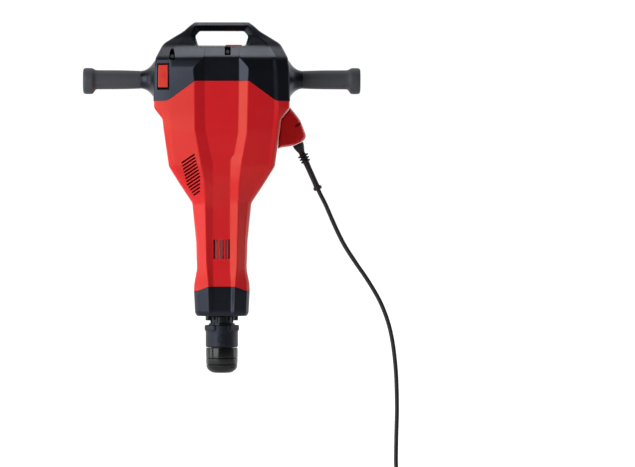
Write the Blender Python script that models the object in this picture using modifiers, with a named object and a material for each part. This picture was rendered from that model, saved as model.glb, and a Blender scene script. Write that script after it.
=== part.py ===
"""Electric jackhammer: an upright demolition breaker with a transverse T-handle and a carry handle.

Metres, +Z up, front towards -Y. The origin is the middle of the T-handle's axis, between the hands.
"""

import math

import bmesh
import bpy
from mathutils import Matrix, Vector

# Driving dimensions
GAP = 0.0003
WALL = 0.0032
HANDLE_WALL = 0.0035
ROUND_STEPS = 20
FINE_STEPS = 24

GRIP_START = 0.1666
GRIP_END = 0.2868
BAR_RADIUS = 0.0110
BAR_HALF_LENGTH = 0.276

SEAM_HIGH = -0.0040
SEAM_LOW = -0.0450
SEAM_INNER_X = 0.0545
SEAM_OUTER_X = 0.1120
SEAM_PLAY = 0.0008
NOSE_TOP = -0.4360
NOSE_BOTTOM = -0.4875
NOSE_HOLE = 0.0435
NOSE_RIM_SHARE = 0.5
CARRY_GAP = (0.0548, 0.0700, 0.1004)

MOTOR_Z = -0.0750
CRANK_Z = -0.1550
CRANK_RADIUS = 0.0120
STROKE = 2 * CRANK_RADIUS
ROD_LENGTH = 0.0800
IDLER_Y = 0.0204
IDLER_Z = -0.1094
FIRST_MODULE = 0.0020
SECOND_MODULE = 0.0025
PINION_TEETH = 10
WHEEL_TEETH = 30
PRESSURE_ANGLE = math.radians(20)

CYLINDER_BORE = 0.0252
CYLINDER_RADIUS = 0.0305
BARREL_BORE = 0.0310
HOLDER_FLANGE_TOP = -0.4700
HOLDER_FLANGE_BOTTOM = -0.4880
BOLT_CIRCLE = 0.0360
BOLT_ANGLES = (40, 140, 220, 320)
HEX_ACROSS_FLATS = 0.0280
CAP_BOTTOM = -0.6060
LOCK_PIN_Z = -0.5400

CORD_RADIUS = 0.0045
COIL_CENTRE = (0.4600, 0.0000)
COIL_INNER = 0.0313
COIL_OUTER = 0.0776
OUTER_TURN = 0.0731
FLOOR_Z = -0.8780
COIL_LOW = FLOOR_Z + 0.0005
COIL_HIGH = FLOOR_Z + 0.0188
PLUG_X = COIL_CENTRE[0] - 0.0400
PLUG_Y = COIL_CENTRE[1] + OUTER_TURN
PLUG_Z = FLOOR_Z + 0.0190

# Casing half sections: height, then the x and y of the channel floor's edge, the ridge beside it,
# the crease where the side strip starts, and the corner of the flat side.
HANDLE_SECTIONS = (
    (-0.0450, 0.0355, 0.0870, 0.0545, 0.0950, 0.1120, 0.0830, 0.1405, 0.0760),
    (0.0030, 0.0355, 0.0870, 0.0545, 0.0950, 0.1110, 0.0830, 0.1400, 0.0760),
    (0.0220, 0.0355, 0.0870, 0.0570, 0.0950, 0.1095, 0.0830, 0.1395, 0.0760),
    (0.0435, 0.0355, 0.0870, 0.0375, 0.0875, 0.1075, 0.0790, 0.1360, 0.0710),
    (0.0683, 0.0340, 0.0540, 0.0360, 0.0545, 0.0980, 0.0510, 0.1237, 0.0440),
    (0.0745, 0.0340, 0.0500, 0.0360, 0.0505, 0.0950, 0.0470, 0.1193, 0.0400),
    (0.0870, 0.0320, 0.0400, 0.0340, 0.0405, 0.0780, 0.0380, 0.0997, 0.0330),
    (0.0994, 0.0320, 0.0310, 0.0340, 0.0315, 0.0600, 0.0300, 0.0790, 0.0260),
    (0.1118, 0.0300, 0.0240, 0.0320, 0.0245, 0.0500, 0.0235, 0.0657, 0.0200),
    (0.1184, 0.0260, 0.0160, 0.0280, 0.0165, 0.0420, 0.0155, 0.0563, 0.0130),
)
BODY_SECTIONS = (
    (-0.4360, 0.0190, 0.0570, 0.0273, 0.0630, 0.0505, 0.0490, 0.0578, 0.0390),
    (-0.4220, 0.0185, 0.0560, 0.0280, 0.0620, 0.0500, 0.0480, 0.0573, 0.0380),
    (-0.3910, 0.0180, 0.0525, 0.0300, 0.0600, 0.0455, 0.0450, 0.0515, 0.0350),
    (-0.3350, 0.0180, 0.0535, 0.0325, 0.0610, 0.0470, 0.0460, 0.0530, 0.0360),
    (-0.2550, 0.0180, 0.0600, 0.0343, 0.0680, 0.0520, 0.0520, 0.0610, 0.0430),
    (-0.2120, 0.0183, 0.0740, 0.0358, 0.0810, 0.0780, 0.0640, 0.0892, 0.0560),
    (-0.1800, 0.0188, 0.0820, 0.0390, 0.0880, 0.0985, 0.0720, 0.1090, 0.0650),
    (-0.1740, 0.0190, 0.0830, 0.0400, 0.0890, 0.1000, 0.0730, 0.1113, 0.0660),
    (-0.1550, 0.0250, 0.0850, 0.0430, 0.0920, 0.1030, 0.0770, 0.1140, 0.0700),
    (-0.1040, 0.0343, 0.0870, 0.0538, 0.0950, 0.1088, 0.0810, 0.1197, 0.0760),
    (-0.0820, 0.0353, 0.0870, 0.0542, 0.0950, 0.1105, 0.0820, 0.1220, 0.0770),
    (-0.0600, 0.0355, 0.0870, 0.0545, 0.0950, 0.1120, 0.0830, 0.1393, 0.0760),
    (-0.0450, 0.0355, 0.0870, 0.0545, 0.0950, 0.1120, 0.0830, 0.1405, 0.0760),
    (-0.0040, 0.0355, 0.0870, 0.0545, 0.0950, 0.1110, 0.0830, 0.1400, 0.0760),
)
NOSE_SECTIONS = (
    (-0.4875, 0.0170, 0.0500, 0.0250, 0.0530, 0.0420, 0.0420, 0.0490, 0.0340),
    (-0.4800, 0.0180, 0.0560, 0.0260, 0.0600, 0.0485, 0.0470, 0.0555, 0.0375),
    (-0.4360, 0.0190, 0.0570, 0.0273, 0.0630, 0.0505, 0.0490, 0.0578, 0.0390),
)

# Left of the carry handle, beside its sill, and right: screw axis x, z and the pocket's depth in y.
SCREW_PLACES = {"left": (-0.1020, 0.0470), "centre": (0.0121, 0.0565), "right": (0.1020, 0.0470)}
SCREW_HEAD_Y = -0.0470

SWITCH_X = -0.1205
SWITCH_Z = 0.0050
SWITCH_PIVOT_Y = -0.0740

# Hand-chosen points that the mains cord passes through, from the strain relief down to the coil.
CORD_ROUTE = (
    (0.2019, 0.0240, -0.2280),
    (0.2156, 0.0238, -0.2590),
    (0.2284, 0.0230, -0.2886),
    (0.2415, 0.0215, -0.3175),
    (0.2566, 0.0190, -0.3463),
    (0.2785, 0.0150, -0.3801),
    (0.3056, 0.0100, -0.4200),
    (0.3310, 0.0040, -0.4660),
    (0.3490, -0.0030, -0.5200),
    (0.3590, -0.0100, -0.5900),
    (0.3620, -0.0170, -0.6700),
    (0.3600, -0.0270, -0.7500),
    (0.3600, -0.0380, -0.8050),
    (0.3680, -0.0510, -0.8430),
    (0.3850, -0.0630, -0.8640),
    (0.4060, -0.0712, -0.8723),
    (0.4210, -0.0731, -0.8735),
)
CORD_SPACING = 0.0165

RELIEF_TOP = Vector((0.1574, 0.0240, -0.1318))
RELIEF_DIRECTION = Vector((0.4083, 0.0, -0.9129)).normalized()


def empty_scene():
    for thing in list(bpy.data.objects):
        bpy.data.objects.remove(thing, do_unlink=True)


def new_collection(name):
    collection = bpy.data.collections.new(name)
    bpy.context.scene.collection.children.link(collection)
    return collection


empty_scene()
PARTS = new_collection("electric_jackhammer")
CUTTERS = new_collection("cutters")


def finish(name, colour, roughness, metallic=0.0):
    material = bpy.data.materials.new(name)
    material.use_nodes = True
    shader = material.node_tree.nodes["Principled BSDF"]
    shader.inputs["Base Color"].default_value = (*colour, 1.0)
    shader.inputs["Roughness"].default_value = roughness
    shader.inputs["Metallic"].default_value = metallic
    return material


def housing_red(name):
    return finish(name, (0.58, 0.026, 0.026), 0.45)


def black_plastic(name):
    return finish(name, (0.022, 0.024, 0.028), 0.5)


def soft_rubber(name):
    return finish(name, (0.03, 0.032, 0.036), 0.8)


def machined_steel(name):
    return finish(name, (0.52, 0.52, 0.53), 0.3, 1.0)


def cast_aluminium(name):
    return finish(name, (0.6, 0.6, 0.62), 0.5, 1.0)


def copper(name):
    return finish(name, (0.7, 0.27, 0.12), 0.35, 1.0)


def place(name, data, look, collection=PARTS):
    thing = bpy.data.objects.new(name, data)
    collection.objects.link(thing)
    if look is not None:
        data.materials.append(look(name))
    return thing


def as_cutter(thing):
    thing.hide_render = True
    thing.display_type = "WIRE"
    return thing


def smooth(thing):
    thing.data.shade_smooth()
    thing.data.set_sharp_from_angle(angle=math.radians(35))
    return thing


def boolean(thing, other, operation="DIFFERENCE"):
    modifier = thing.modifiers.new(operation.lower(), "BOOLEAN")
    modifier.operation = operation
    modifier.solver = "EXACT"
    modifier.object = other
    return thing


def mesh_of(thing, name):
    """The evaluated shape of an object as a new mesh, welded and in world coordinates."""
    bpy.context.view_layer.update()
    graph = bpy.context.evaluated_depsgraph_get()
    mesh = bpy.data.meshes.new_from_object(thing.evaluated_get(graph))
    mesh.name = name
    mesh.transform(thing.matrix_world)
    shape = bmesh.new()
    shape.from_mesh(mesh)
    bmesh.ops.remove_doubles(shape, verts=shape.verts, dist=1e-6)
    shape.to_mesh(mesh)
    shape.free()
    return mesh


def applied(thing, name, look, collection=PARTS):
    """A plain mesh object in place of one with modifiers or a curve."""
    mesh = mesh_of(thing, name)
    bpy.data.objects.remove(thing, do_unlink=True)
    mesh.materials.clear()
    return place(name, mesh, look, collection)


def box(name, low, high, look, collection=PARTS):
    shape = bmesh.new()
    bmesh.ops.create_cube(shape, size=1.0)
    size = Vector(high) - Vector(low)
    bmesh.ops.scale(shape, vec=size, verts=shape.verts)
    bmesh.ops.translate(shape, vec=(Vector(low) + Vector(high)) / 2, verts=shape.verts)
    mesh = bpy.data.meshes.new(name)
    shape.to_mesh(mesh)
    shape.free()
    return place(name, mesh, look, collection)


def box_cutter(name, low, high):
    return as_cutter(box(name, low, high, None, CUTTERS))


def bevel(thing, width, segments=1, angle=40):
    modifier = thing.modifiers.new("rounded edges", "BEVEL")
    modifier.width = width
    modifier.segments = segments
    modifier.limit_method = "ANGLE"
    modifier.angle_limit = math.radians(angle)
    return thing


def rod_cutter(name, radius, low, high, axis="X", steps=20):
    """A round cutter between two points that share all but one coordinate."""
    low = Vector(low)
    high = Vector(high)
    shape = bmesh.new()
    bmesh.ops.create_cone(
        shape, cap_ends=True, segments=steps, radius1=radius, radius2=radius, depth=(high - low).length
    )
    turn = {"X": Matrix.Rotation(math.pi / 2, 4, "Y"), "Y": Matrix.Rotation(math.pi / 2, 4, "X"),
            "Z": Matrix.Identity(4)}[axis]
    bmesh.ops.transform(shape, matrix=Matrix.Translation((low + high) / 2) @ turn, verts=shape.verts)
    mesh = bpy.data.meshes.new(name)
    shape.to_mesh(mesh)
    shape.free()
    return as_cutter(place(name, mesh, None, CUTTERS))


def running_down(profile, hollow):
    """The profile turned so that it runs down its outer side, top to bottom."""
    corners = list(profile)
    if not hollow:
        corners = [(0.0, profile[0][1])] + corners + [(0.0, profile[-1][1])]
    area = 0.0
    for (r1, z1), (r2, z2) in zip(corners, corners[1:] + corners[:1]):
        area += r1 * z2 - r2 * z1
    return corners if area < 0 else corners[::-1]


def turned(name, profile, look, hollow=False, steps=ROUND_STEPS, centre=(0, 0, 0), along="Z",
           collection=PARTS):
    """A shape of revolution. The profile is (radius, place on the axis); a hollow one is a closed loop."""
    corners = running_down(profile, hollow)
    mesh = bpy.data.meshes.new(name)
    edges = [(i, i + 1) for i in range(len(corners) - 1)]
    if hollow:
        edges.append((len(corners) - 1, 0))
    mesh.from_pydata([(r, 0.0, z) for r, z in corners], edges, [])
    thing = place(name, mesh, look, collection)
    screw = thing.modifiers.new("turned", "SCREW")
    screw.axis = "Z"
    screw.angle = math.tau
    screw.steps = steps
    screw.render_steps = steps
    screw.use_merge_vertices = True
    screw.merge_threshold = 0.00001
    screw.use_smooth_shade = True
    thing.location = centre
    if along == "X":
        thing.rotation_euler = (0.0, math.pi / 2, 0.0)
    return thing


def ring(name, inner, outer, low, high, look, **where):
    return turned(name, [(outer, high), (outer, low), (inner, low), (inner, high)], look, True, **where)


def outline_plate(name, outlines, low, high, look, collection=PARTS):
    """Flat outlines in the YZ plane, the first outside and the rest holes, from low to high in X."""
    curve = bpy.data.curves.new(name, "CURVE")
    curve.dimensions = "2D"
    curve.fill_mode = "BOTH"
    curve.extrude = (high - low) / 2
    for outline in outlines:
        spline = curve.splines.new("POLY")
        spline.points.add(len(outline) - 1)
        for point, (y, z) in zip(spline.points, outline):
            point.co = (y, z, 0.0, 1.0)
        spline.use_cyclic_u = True
    thing = place(name, curve, None, collection)
    thing.matrix_world = Matrix.Translation(((low + high) / 2, 0, 0)) @ Matrix(
        ((0, 0, 1, 0), (1, 0, 0, 0), (0, 1, 0, 0), (0, 0, 0, 1))
    )
    return applied(thing, name, look, collection)


def circle(radius, centre=(0.0, 0.0), steps=16):
    angles = [math.tau * i / steps for i in range(steps)]
    return [(centre[0] + radius * math.cos(a), centre[1] + radius * math.sin(a)) for a in angles]


def section_at(sections, height):
    """The eight section values at a height, between the stations of a table."""
    below = sections[0]
    for above in sections[1:]:
        if height <= above[0]:
            share = (height - below[0]) / (above[0] - below[0])
            return [a + share * (b - a) for a, b in zip(below[1:], above[1:])]
        below = above
    return list(below[1:])


def front_half(section, inset=0.0):
    """Corners of the front half, from the right parting edge round the front to the left one."""
    floor_x, floor_y, ridge_x, ridge_y, crease_x, crease_y, side_x, side_y = section
    right = [
        (side_x - inset, 0.0),
        (side_x - inset, inset - side_y),
        (crease_x - inset / 2, inset - crease_y),
        (ridge_x, inset - ridge_y),
        (floor_x, inset - floor_y),
    ]
    return right + [(-x, y) for x, y in reversed(right)]


def rear_half(section, inset=0.0):
    """Corners of the rear half, from the left parting edge round the back to the right one."""
    floor_x, floor_y, ridge_x, ridge_y, crease_x, crease_y, side_x, side_y = section
    left = [
        (inset - side_x, 0.0),
        (inset - side_x, side_y - inset),
        (inset / 2 - crease_x, crease_y - inset),
        (-ridge_x, ridge_y - inset),
    ]
    return left + [(-x, y) for x, y in reversed(left)]


def whole_ring(section, inset=0.0):
    return front_half(section, inset)[:-1] + rear_half(section, inset)[:-1]


def loft(name, rows, look, closed=False, capped=False, collection=PARTS):
    """A surface through rows of points; each row has the same number of points."""
    shape = bmesh.new()
    grid = [[shape.verts.new(point) for point in row] for row in rows]
    columns = len(rows[0])
    last = columns if closed else columns - 1
    for lower, upper in zip(grid, grid[1:]):
        for i in range(last):
            j = (i + 1) % columns
            shape.faces.new((lower[i], upper[i], upper[j], lower[j]))
    if capped:
        shape.faces.new(list(reversed(grid[0])))
        shape.faces.new(grid[-1])
    mesh = bpy.data.meshes.new(name)
    shape.to_mesh(mesh)
    shape.free()
    return place(name, mesh, look, collection)


def outward(thing):
    shape = bmesh.new()
    shape.from_mesh(thing.data)
    bmesh.ops.recalc_face_normals(shape, faces=shape.faces)
    shape.to_mesh(thing.data)
    shape.free()
    return thing


def solidify(thing, thickness, outward_side=1.0):
    """Give an open surface its wall, on the inner side of its faces."""
    modifier = thing.modifiers.new("wall", "SOLIDIFY")
    modifier.thickness = thickness
    modifier.offset = -outward_side
    modifier.use_even_offset = True
    return thing


# The red body

def body_heights():
    return [station[0] for station in BODY_SECTIONS if station[0] <= SEAM_LOW - 0.001]


def body_shell(name, half, seam_heights):
    """One half of the red body, from the nose cover up to the seam with the handle housing."""
    rows = []
    for height in body_heights():
        lift = GAP if height == NOSE_TOP else 0.0
        rows.append([(x, y, height + lift) for x, y in half(section_at(BODY_SECTIONS, height))])
    top = []
    for column, height in enumerate(seam_heights):
        x, y = half(section_at(BODY_SECTIONS, height))[column]
        top.append((x, y, height - GAP))
    rows.append(top)
    shell = loft(name, rows, housing_red)
    return shell


def split_shell(shell, sign):
    """Move the parting edge off the parting plane so that the two halves keep their gap."""
    for vertex in shell.data.vertices:
        if abs(vertex.co.y) < 1e-9:
            vertex.co.y = sign * GAP / 2
    return shell


def red_housings():
    high = SEAM_HIGH
    low = SEAM_LOW
    front = body_shell("front_housing", front_half, [low, low, low, high, high, high, high, low, low, low])
    split_shell(front, -1)
    solidify(front, WALL)
    rear = body_shell("rear_housing", rear_half, [low] * 8)
    split_shell(rear, 1)
    solidify(rear, WALL)


def nose_cover():
    """A moulded cover with a round opening that the tool holder's neck passes through."""
    rows = [
        [(x, y, height - (GAP if height == NOSE_TOP else 0.0)) for x, y in whole_ring(section)]
        for height, section in ((s[0], s[1:]) for s in NOSE_SECTIONS)
    ]
    rim = []
    for x, y, z in rows[0]:
        rim.append((x * NOSE_RIM_SHARE, y * NOSE_RIM_SHARE, z))
    cover = loft("nose_cover", [rim] + rows, black_plastic, closed=True)
    solidify(cover, WALL - 0.0004)
    low = (0, 0, NOSE_BOTTOM - 0.01)
    boolean(cover, rod_cutter("nose_hole", NOSE_HOLE, low, (0, 0, NOSE_BOTTOM + 0.01), "Z", FINE_STEPS))


# The black handle housing with its carry handle

def handle_blank():
    """The handle housing's outer form with the flared stubs that carry the grips."""
    rows = [[(x, y, s[0]) for x, y in whole_ring(s[1:])] for s in HANDLE_SECTIONS]
    blank = as_cutter(outward(loft("handle_blank", rows, None, True, True, CUTTERS)))
    flare = [(0.0185, 0.1660), (0.0195, 0.1600), (0.0225, 0.1530), (0.0275, 0.1470), (0.0340, 0.1415),
             (0.0400, 0.1365), (0.0400, 0.1200)]
    for side in (1, -1):
        stub = turned("flared_stub", [(r, side * x) for r, x in flare], None, along="X", collection=CUTTERS)
        boolean(blank, as_cutter(stub), "UNION")
    return blank


def handle_cavity():
    """The hollow inside the handle housing, less the carry handle's tunnel and the screw posts."""
    inside = []
    for station in HANDLE_SECTIONS:
        height = station[0]
        if height == HANDLE_SECTIONS[0][0]:
            height -= 0.005
        if height == HANDLE_SECTIONS[-1][0]:
            height -= HANDLE_WALL
        inside.append([(x, y, height) for x, y in whole_ring(station[1:], HANDLE_WALL)])
    cavity = as_cutter(outward(loft("handle_cavity", inside, None, True, True, CUTTERS)))
    half_width, low, high = CARRY_GAP
    wall = HANDLE_WALL
    tunnel = box_cutter("tunnel_wall", (-half_width - wall, -0.1, low - wall),
                        (half_width + wall, 0.1, high + wall))
    boolean(cavity, tunnel)
    for x, z in SCREW_PLACES.values():
        boolean(cavity, rod_cutter("screw_post", 0.0088, (x, -0.1, z), (x, 0.1, z), "Y"))
    return cavity


def handle_shell():
    blank = handle_blank()
    boolean(blank, handle_cavity())
    half_width, low, high = CARRY_GAP
    tunnel = box_cutter("carry_gap", (-half_width, -0.12, low), (half_width, 0.12, high))
    bevel(tunnel, 0.0075, 2)
    boolean(blank, tunnel)
    boolean(blank, rod_cutter("bar_hole", BAR_RADIUS + GAP, (-0.17, 0, 0), (0.17, 0, 0)))
    inner = SEAM_INNER_X + SEAM_PLAY
    outer = SEAM_OUTER_X + SEAM_PLAY
    seam = [(-outer, SEAM_LOW), (-inner, SEAM_HIGH), (inner, SEAM_HIGH), (outer, SEAM_LOW),
            (outer, SEAM_LOW - 0.01), (-outer, SEAM_LOW - 0.01)]
    notch = outline_plate("seam_notch", [seam], 0.050, 0.130, None, CUTTERS)
    notch.matrix_world = Matrix.Rotation(-math.pi / 2, 4, "Z")
    boolean(blank, as_cutter(notch))
    for x, z in SCREW_PLACES.values():
        boolean(blank, rod_cutter("screw_pocket", 0.0062, (x, -0.12, z), (x, SCREW_HEAD_Y, z), "Y"))
        boolean(blank, rod_cutter("screw_hole", 0.0028, (x, SCREW_HEAD_Y - 0.01, z), (x, 0.031, z), "Y", 12))
    frame = box_cutter("frame_seat", (SWITCH_X - 0.0128, -0.1, SWITCH_Z - 0.0278),
                       (SWITCH_X + 0.0128, -0.06, SWITCH_Z + 0.0278))
    boolean(blank, frame)
    return applied(blank, "handle_shell", None, CUTTERS)


def handle_housings():
    shell = handle_shell()
    as_cutter(shell)
    sides = {"handle_housing_front": (-GAP / 2, 0.2), "handle_housing_rear": (-0.2, GAP / 2)}
    for name, (low, high) in sides.items():
        half = place(name, shell.data.copy(), black_plastic)
        boolean(half, box_cutter(name + "_cut", (-0.3, low, -0.3), (0.3, high, 0.3)))


def housing_screws():
    profile = [(0.0045, -0.0035), (0.0045, 0.0), (0.0024, 0.0), (0.0024, 0.074)]
    for side, (x, z) in SCREW_PLACES.items():
        screw = turned("handle_screw_" + side, profile, machined_steel, steps=16,
                       centre=(x, SCREW_HEAD_Y - GAP, z))
        screw.rotation_euler = (-math.pi / 2, 0.0, 0.0)


def indicator_panel():
    low = (0.0076, -0.0400, CARRY_GAP[1] + GAP)
    high = (0.0410, -0.0250, CARRY_GAP[1] + 0.0050)
    panel = box("indicator_panel", low, high, lambda name: finish(name, (0.7, 0.05, 0.03), 0.35))
    bevel(panel, 0.0008)


# Grips, bar and bridge

GRIP_PROFILE = (
    (BAR_RADIUS + GAP, 0.1666), (0.0182, 0.1666), (0.0188, 0.1760), (0.0198, 0.2150), (0.0198, 0.2600),
    (0.0235, 0.2660), (0.0243, 0.2700), (0.0241, 0.2820), (0.0210, 0.2868), (0.0, 0.2868), (0.0, 0.2790),
    (BAR_RADIUS + GAP, 0.2790),
)
GUARD_START = 0.2605
GUARD_DROP = 1.22


def grips():
    """Rubber sleeves closed at the outer end by a guard that hangs lower than it stands up."""
    for side, sign in (("right", 1), ("left", -1)):
        name = "grip_" + side
        corners = running_down(GRIP_PROFILE, True)
        mesh = bpy.data.meshes.new("sleeve")
        loop = zip(range(len(corners)), [*range(1, len(corners)), 0])
        edges = [(a, b) for a, b in loop if corners[a][0] > 0 or corners[b][0] > 0]
        mesh.from_pydata([(r, 0.0, x) for r, x in corners], edges, [])
        blank = place("sleeve", mesh, None, CUTTERS)
        screw = blank.modifiers.new("turned", "SCREW")
        screw.steps = FINE_STEPS
        screw.render_steps = FINE_STEPS
        screw.use_merge_vertices = True
        screw.merge_threshold = 0.00001
        blank.rotation_euler = (0.0, math.pi / 2, 0.0)
        grip = applied(blank, name, soft_rubber)
        for vertex in grip.data.vertices:
            if vertex.co.x > GUARD_START and vertex.co.z < 0 and vertex.co.yz.length > BAR_RADIUS + 0.001:
                vertex.co.z *= GUARD_DROP
        if sign < 0:
            grip.data.transform(Matrix.Diagonal((-1, 1, 1, 1)))
            grip.data.flip_normals()


def handle_bar():
    profile = [(BAR_RADIUS, BAR_HALF_LENGTH), (BAR_RADIUS, -BAR_HALF_LENGTH)]
    turned("handle_bar", profile, machined_steel, along="X")


BRIDGE_LOW = 0.0115
BRIDGE_HIGH = 0.0165


def handle_bridge():
    """The plate on the handle bar that the suspension springs push up against."""
    box("handle_bridge", (-0.060, -0.050, BRIDGE_LOW), (0.060, 0.050, BRIDGE_HIGH), cast_aluminium)


SPRING_X = 0.0280
SPRING_Y = 0.0360
SPRING_RADIUS = 0.0078
SPRING_WIRE = 0.0012
SPRING_TURNS = 5
CASE_TOP = -0.0300


def suspension_springs():
    low = CASE_TOP + GAP + SPRING_WIRE
    high = BRIDGE_LOW - GAP - SPRING_WIRE
    steps = SPRING_TURNS * 8
    for side, sign in (("front", -1), ("rear", 1)):
        curve = bpy.data.curves.new("wire", "CURVE")
        curve.dimensions = "3D"
        curve.bevel_depth = SPRING_WIRE
        curve.bevel_resolution = 1
        curve.use_fill_caps = True
        spline = curve.splines.new("POLY")
        spline.points.add(steps)
        for i, point in enumerate(spline.points):
            around = math.tau * SPRING_TURNS * i / steps
            climb = low + (high - low) * i / steps
            point.co = (SPRING_X + SPRING_RADIUS * math.cos(around),
                        sign * SPRING_Y + SPRING_RADIUS * math.sin(around), climb, 1.0)
        wire = place("wire", curve, None, CUTTERS)
        applied(wire, "suspension_spring_" + side, machined_steel)


# Switch and electrics in the handle housing

def switch():
    low = (SWITCH_X - 0.0125, -0.0825, SWITCH_Z - 0.0275)
    high = (SWITCH_X + 0.0125, -0.0665, SWITCH_Z + 0.0275)
    frame = box("switch_frame", low, high, black_plastic)
    window = box_cutter("rocker_window", (SWITCH_X - 0.0104, -0.1, SWITCH_Z - 0.0254),
                        (SWITCH_X + 0.0104, -0.05, SWITCH_Z + 0.0254))
    boolean(frame, window)
    box("switch_module", (SWITCH_X - 0.0105, -0.0662, SWITCH_Z - 0.0230),
        (SWITCH_X + 0.0105, -0.0400, SWITCH_Z + 0.0230), black_plastic)
    rocker = [(-0.0885, -0.0225), (-0.0845, 0.0), (-0.0812, 0.0235), (-0.0765, 0.0235), (-0.0705, 0.0030),
              (-0.0705, -0.0030), (-0.0790, -0.0225)]
    cap = outline_plate("switch_rocker", [[(y, SWITCH_Z + z) for y, z in rocker]], SWITCH_X - 0.0097,
                        SWITCH_X + 0.0097, lambda name: finish(name, (0.8, 0.06, 0.04), 0.35))
    move_origin(cap, (SWITCH_X, SWITCH_PIVOT_Y, SWITCH_Z))


def move_origin(thing, origin):
    """Put a moving piece's origin on its joint's axis without moving the piece."""
    thing.data.transform(Matrix.Translation(-Vector(origin)))
    thing.location = origin


def control_module():
    low = (-0.055, -0.030, BRIDGE_HIGH + GAP)
    module = box("control_module", low, (0.055, 0.048, 0.0400), black_plastic)
    bevel(module, 0.002)


# Crankcase, cylinder and barrel

CASE_FRONT = -0.0490
CASE_REAR = 0.0610
CASE_LEFT = -0.0190
CASE_RIGHT = 0.0737
CASE_BOTTOM = -0.2030
CASE_WALL = 0.0050
BULKHEAD = (0.0200, 0.0300)


def crankcase():
    """The casting: crank chamber on its left, gear chamber on its right and a bulkhead between."""
    case = box("crankcase", (CASE_LEFT, CASE_FRONT, CASE_BOTTOM), (CASE_RIGHT, CASE_REAR, CASE_TOP),
               cast_aluminium)
    front = CASE_FRONT + CASE_WALL
    rear = CASE_REAR - CASE_WALL
    floor = CASE_BOTTOM + CASE_WALL
    roof = CASE_TOP - CASE_WALL
    boolean(case, box_cutter("crank_chamber", (CASE_LEFT - 0.01, front, floor), (BULKHEAD[0], rear, roof)))
    boolean(case, box_cutter("gear_chamber", (BULKHEAD[1], front, floor), (CASE_RIGHT + 0.01, rear, roof)))
    slot_low = CASE_BOTTOM - 0.01
    boolean(case, box_cutter("rod_slot", (-0.0095, -0.0280, slot_low), (0.0095, 0.0280, floor + 0.002)))
    seats = ((0.0, CRANK_Z, 0.0223), (0.0, MOTOR_Z, 0.0133), (IDLER_Y, IDLER_Z, 0.0063))
    for y, z, radius in seats:
        boolean(case, rod_cutter("bearing_seat", radius, (0.010, y, z), (0.040, y, z)))


def case_covers():
    cover = box("gear_cover", (CASE_RIGHT + GAP, CASE_FRONT, CASE_BOTTOM), (0.0850, CASE_REAR, CASE_TOP),
                cast_aluminium)
    for y, z, radius in ((0.0, CRANK_Z, 0.0113), (IDLER_Y, IDLER_Z, 0.0063)):
        boolean(cover, rod_cutter("shaft_end", radius, (0.060, y, z), (0.0820, y, z)))
    flange = box("motor_flange", (-0.0240, CASE_FRONT, CASE_BOTTOM), (CASE_LEFT - GAP, CASE_REAR, CASE_TOP),
                 cast_aluminium)
    boolean(flange, rod_cutter("shaft_hole", 0.0090, (-0.05, 0, MOTOR_Z), (0.01, 0, MOTOR_Z)))


def turned_x(name, profile, look, y, z, hollow=False, steps=16):
    """A shape of revolution about an axis along X; the profile is (radius, x)."""
    return turned(name, profile, look, hollow, steps, (0.0, y, z), "X")


def ring_x(name, inner, outer, low, high, look, y, z, steps=16):
    profile = [(outer, high), (outer, low), (inner, low), (inner, high)]
    return turned_x(name, profile, look, y, z, True, steps)


def motor():
    can = [(0.0490, -0.0243), (0.0490, -0.1080), (0.0470, -0.1100), (0.0070, -0.1100), (0.0070, -0.1070),
           (0.0113, -0.1070), (0.0113, -0.1015), (0.0150, -0.1015), (0.0150, -0.1068), (0.0458, -0.1068),
           (0.0458, -0.0243)]
    turned_x("motor_can", can, cast_aluminium, 0.0, MOTOR_Z, True)
    ring_x("stator_core", 0.0270, 0.0455, -0.0820, -0.0460, machined_steel, 0.0, MOTOR_Z)
    ring_x("stator_winding_left", 0.0285, 0.0420, -0.0900, -0.0823, copper, 0.0, MOTOR_Z)
    ring_x("stator_winding_right", 0.0285, 0.0420, -0.0457, -0.0380, copper, 0.0, MOTOR_Z)
    ring_x("rotor_bearing_left", 0.0063, 0.0110, -0.1066, -0.1020, machined_steel, 0.0, MOTOR_Z)
    ring_x("rotor_bearing_right", 0.0063, 0.0130, 0.0203, 0.0297, machined_steel, 0.0, MOTOR_Z)
    for side, sign in (("upper", 1), ("lower", -1)):
        near = MOTOR_Z + sign * 0.0150
        far = MOTOR_Z + sign * 0.0440
        box("brush_holder_" + side, (-0.1000, -0.0050, min(near, far)), (-0.0920, 0.0050, max(near, far)),
            lambda name: finish(name, (0.5, 0.34, 0.12), 0.4, 1.0))


def involute(angle):
    return math.tan(angle) - angle


def gear_outline(teeth, module, first_tooth, centre, clearance=0.00014):
    """Spur gear outline with involute flanks; first_tooth is the angle of one tooth's middle."""
    pitch = teeth * module / 2
    base = pitch * math.cos(PRESSURE_ANGLE)
    tip = pitch + 0.65 * module
    root = pitch - 0.95 * module
    half_at_pitch = math.pi / (2 * teeth) - clearance / pitch

    def half_angle(radius):
        over = math.acos(min(1.0, base / radius))
        return half_at_pitch + involute(PRESSURE_ANGLE) - involute(over)

    flank = [(root, half_angle(base)), (pitch, half_at_pitch), (tip, half_angle(tip))]
    points = []
    for tooth in range(teeth):
        middle = first_tooth + math.tau * tooth / teeth
        for radius, half in flank:
            points.append((radius, middle - half))
        for radius, half in reversed(flank):
            points.append((radius, middle + half))
    return [(centre[0] + r * math.cos(a), centre[1] + r * math.sin(a)) for r, a in points]


def geared_shaft(name, shaft, teeth_outline, low, high, centre):
    """A turned shaft with its pinion cut on the end."""
    blank = turned_x("shaft_blank", shaft, None, *centre)
    pinion = as_cutter(outline_plate("pinion_blank", [teeth_outline], low, high, None, CUTTERS))
    boolean(blank, pinion, "UNION")
    made = applied(blank, name, machined_steel)
    move_origin(made, (0.0, *centre))


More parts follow.
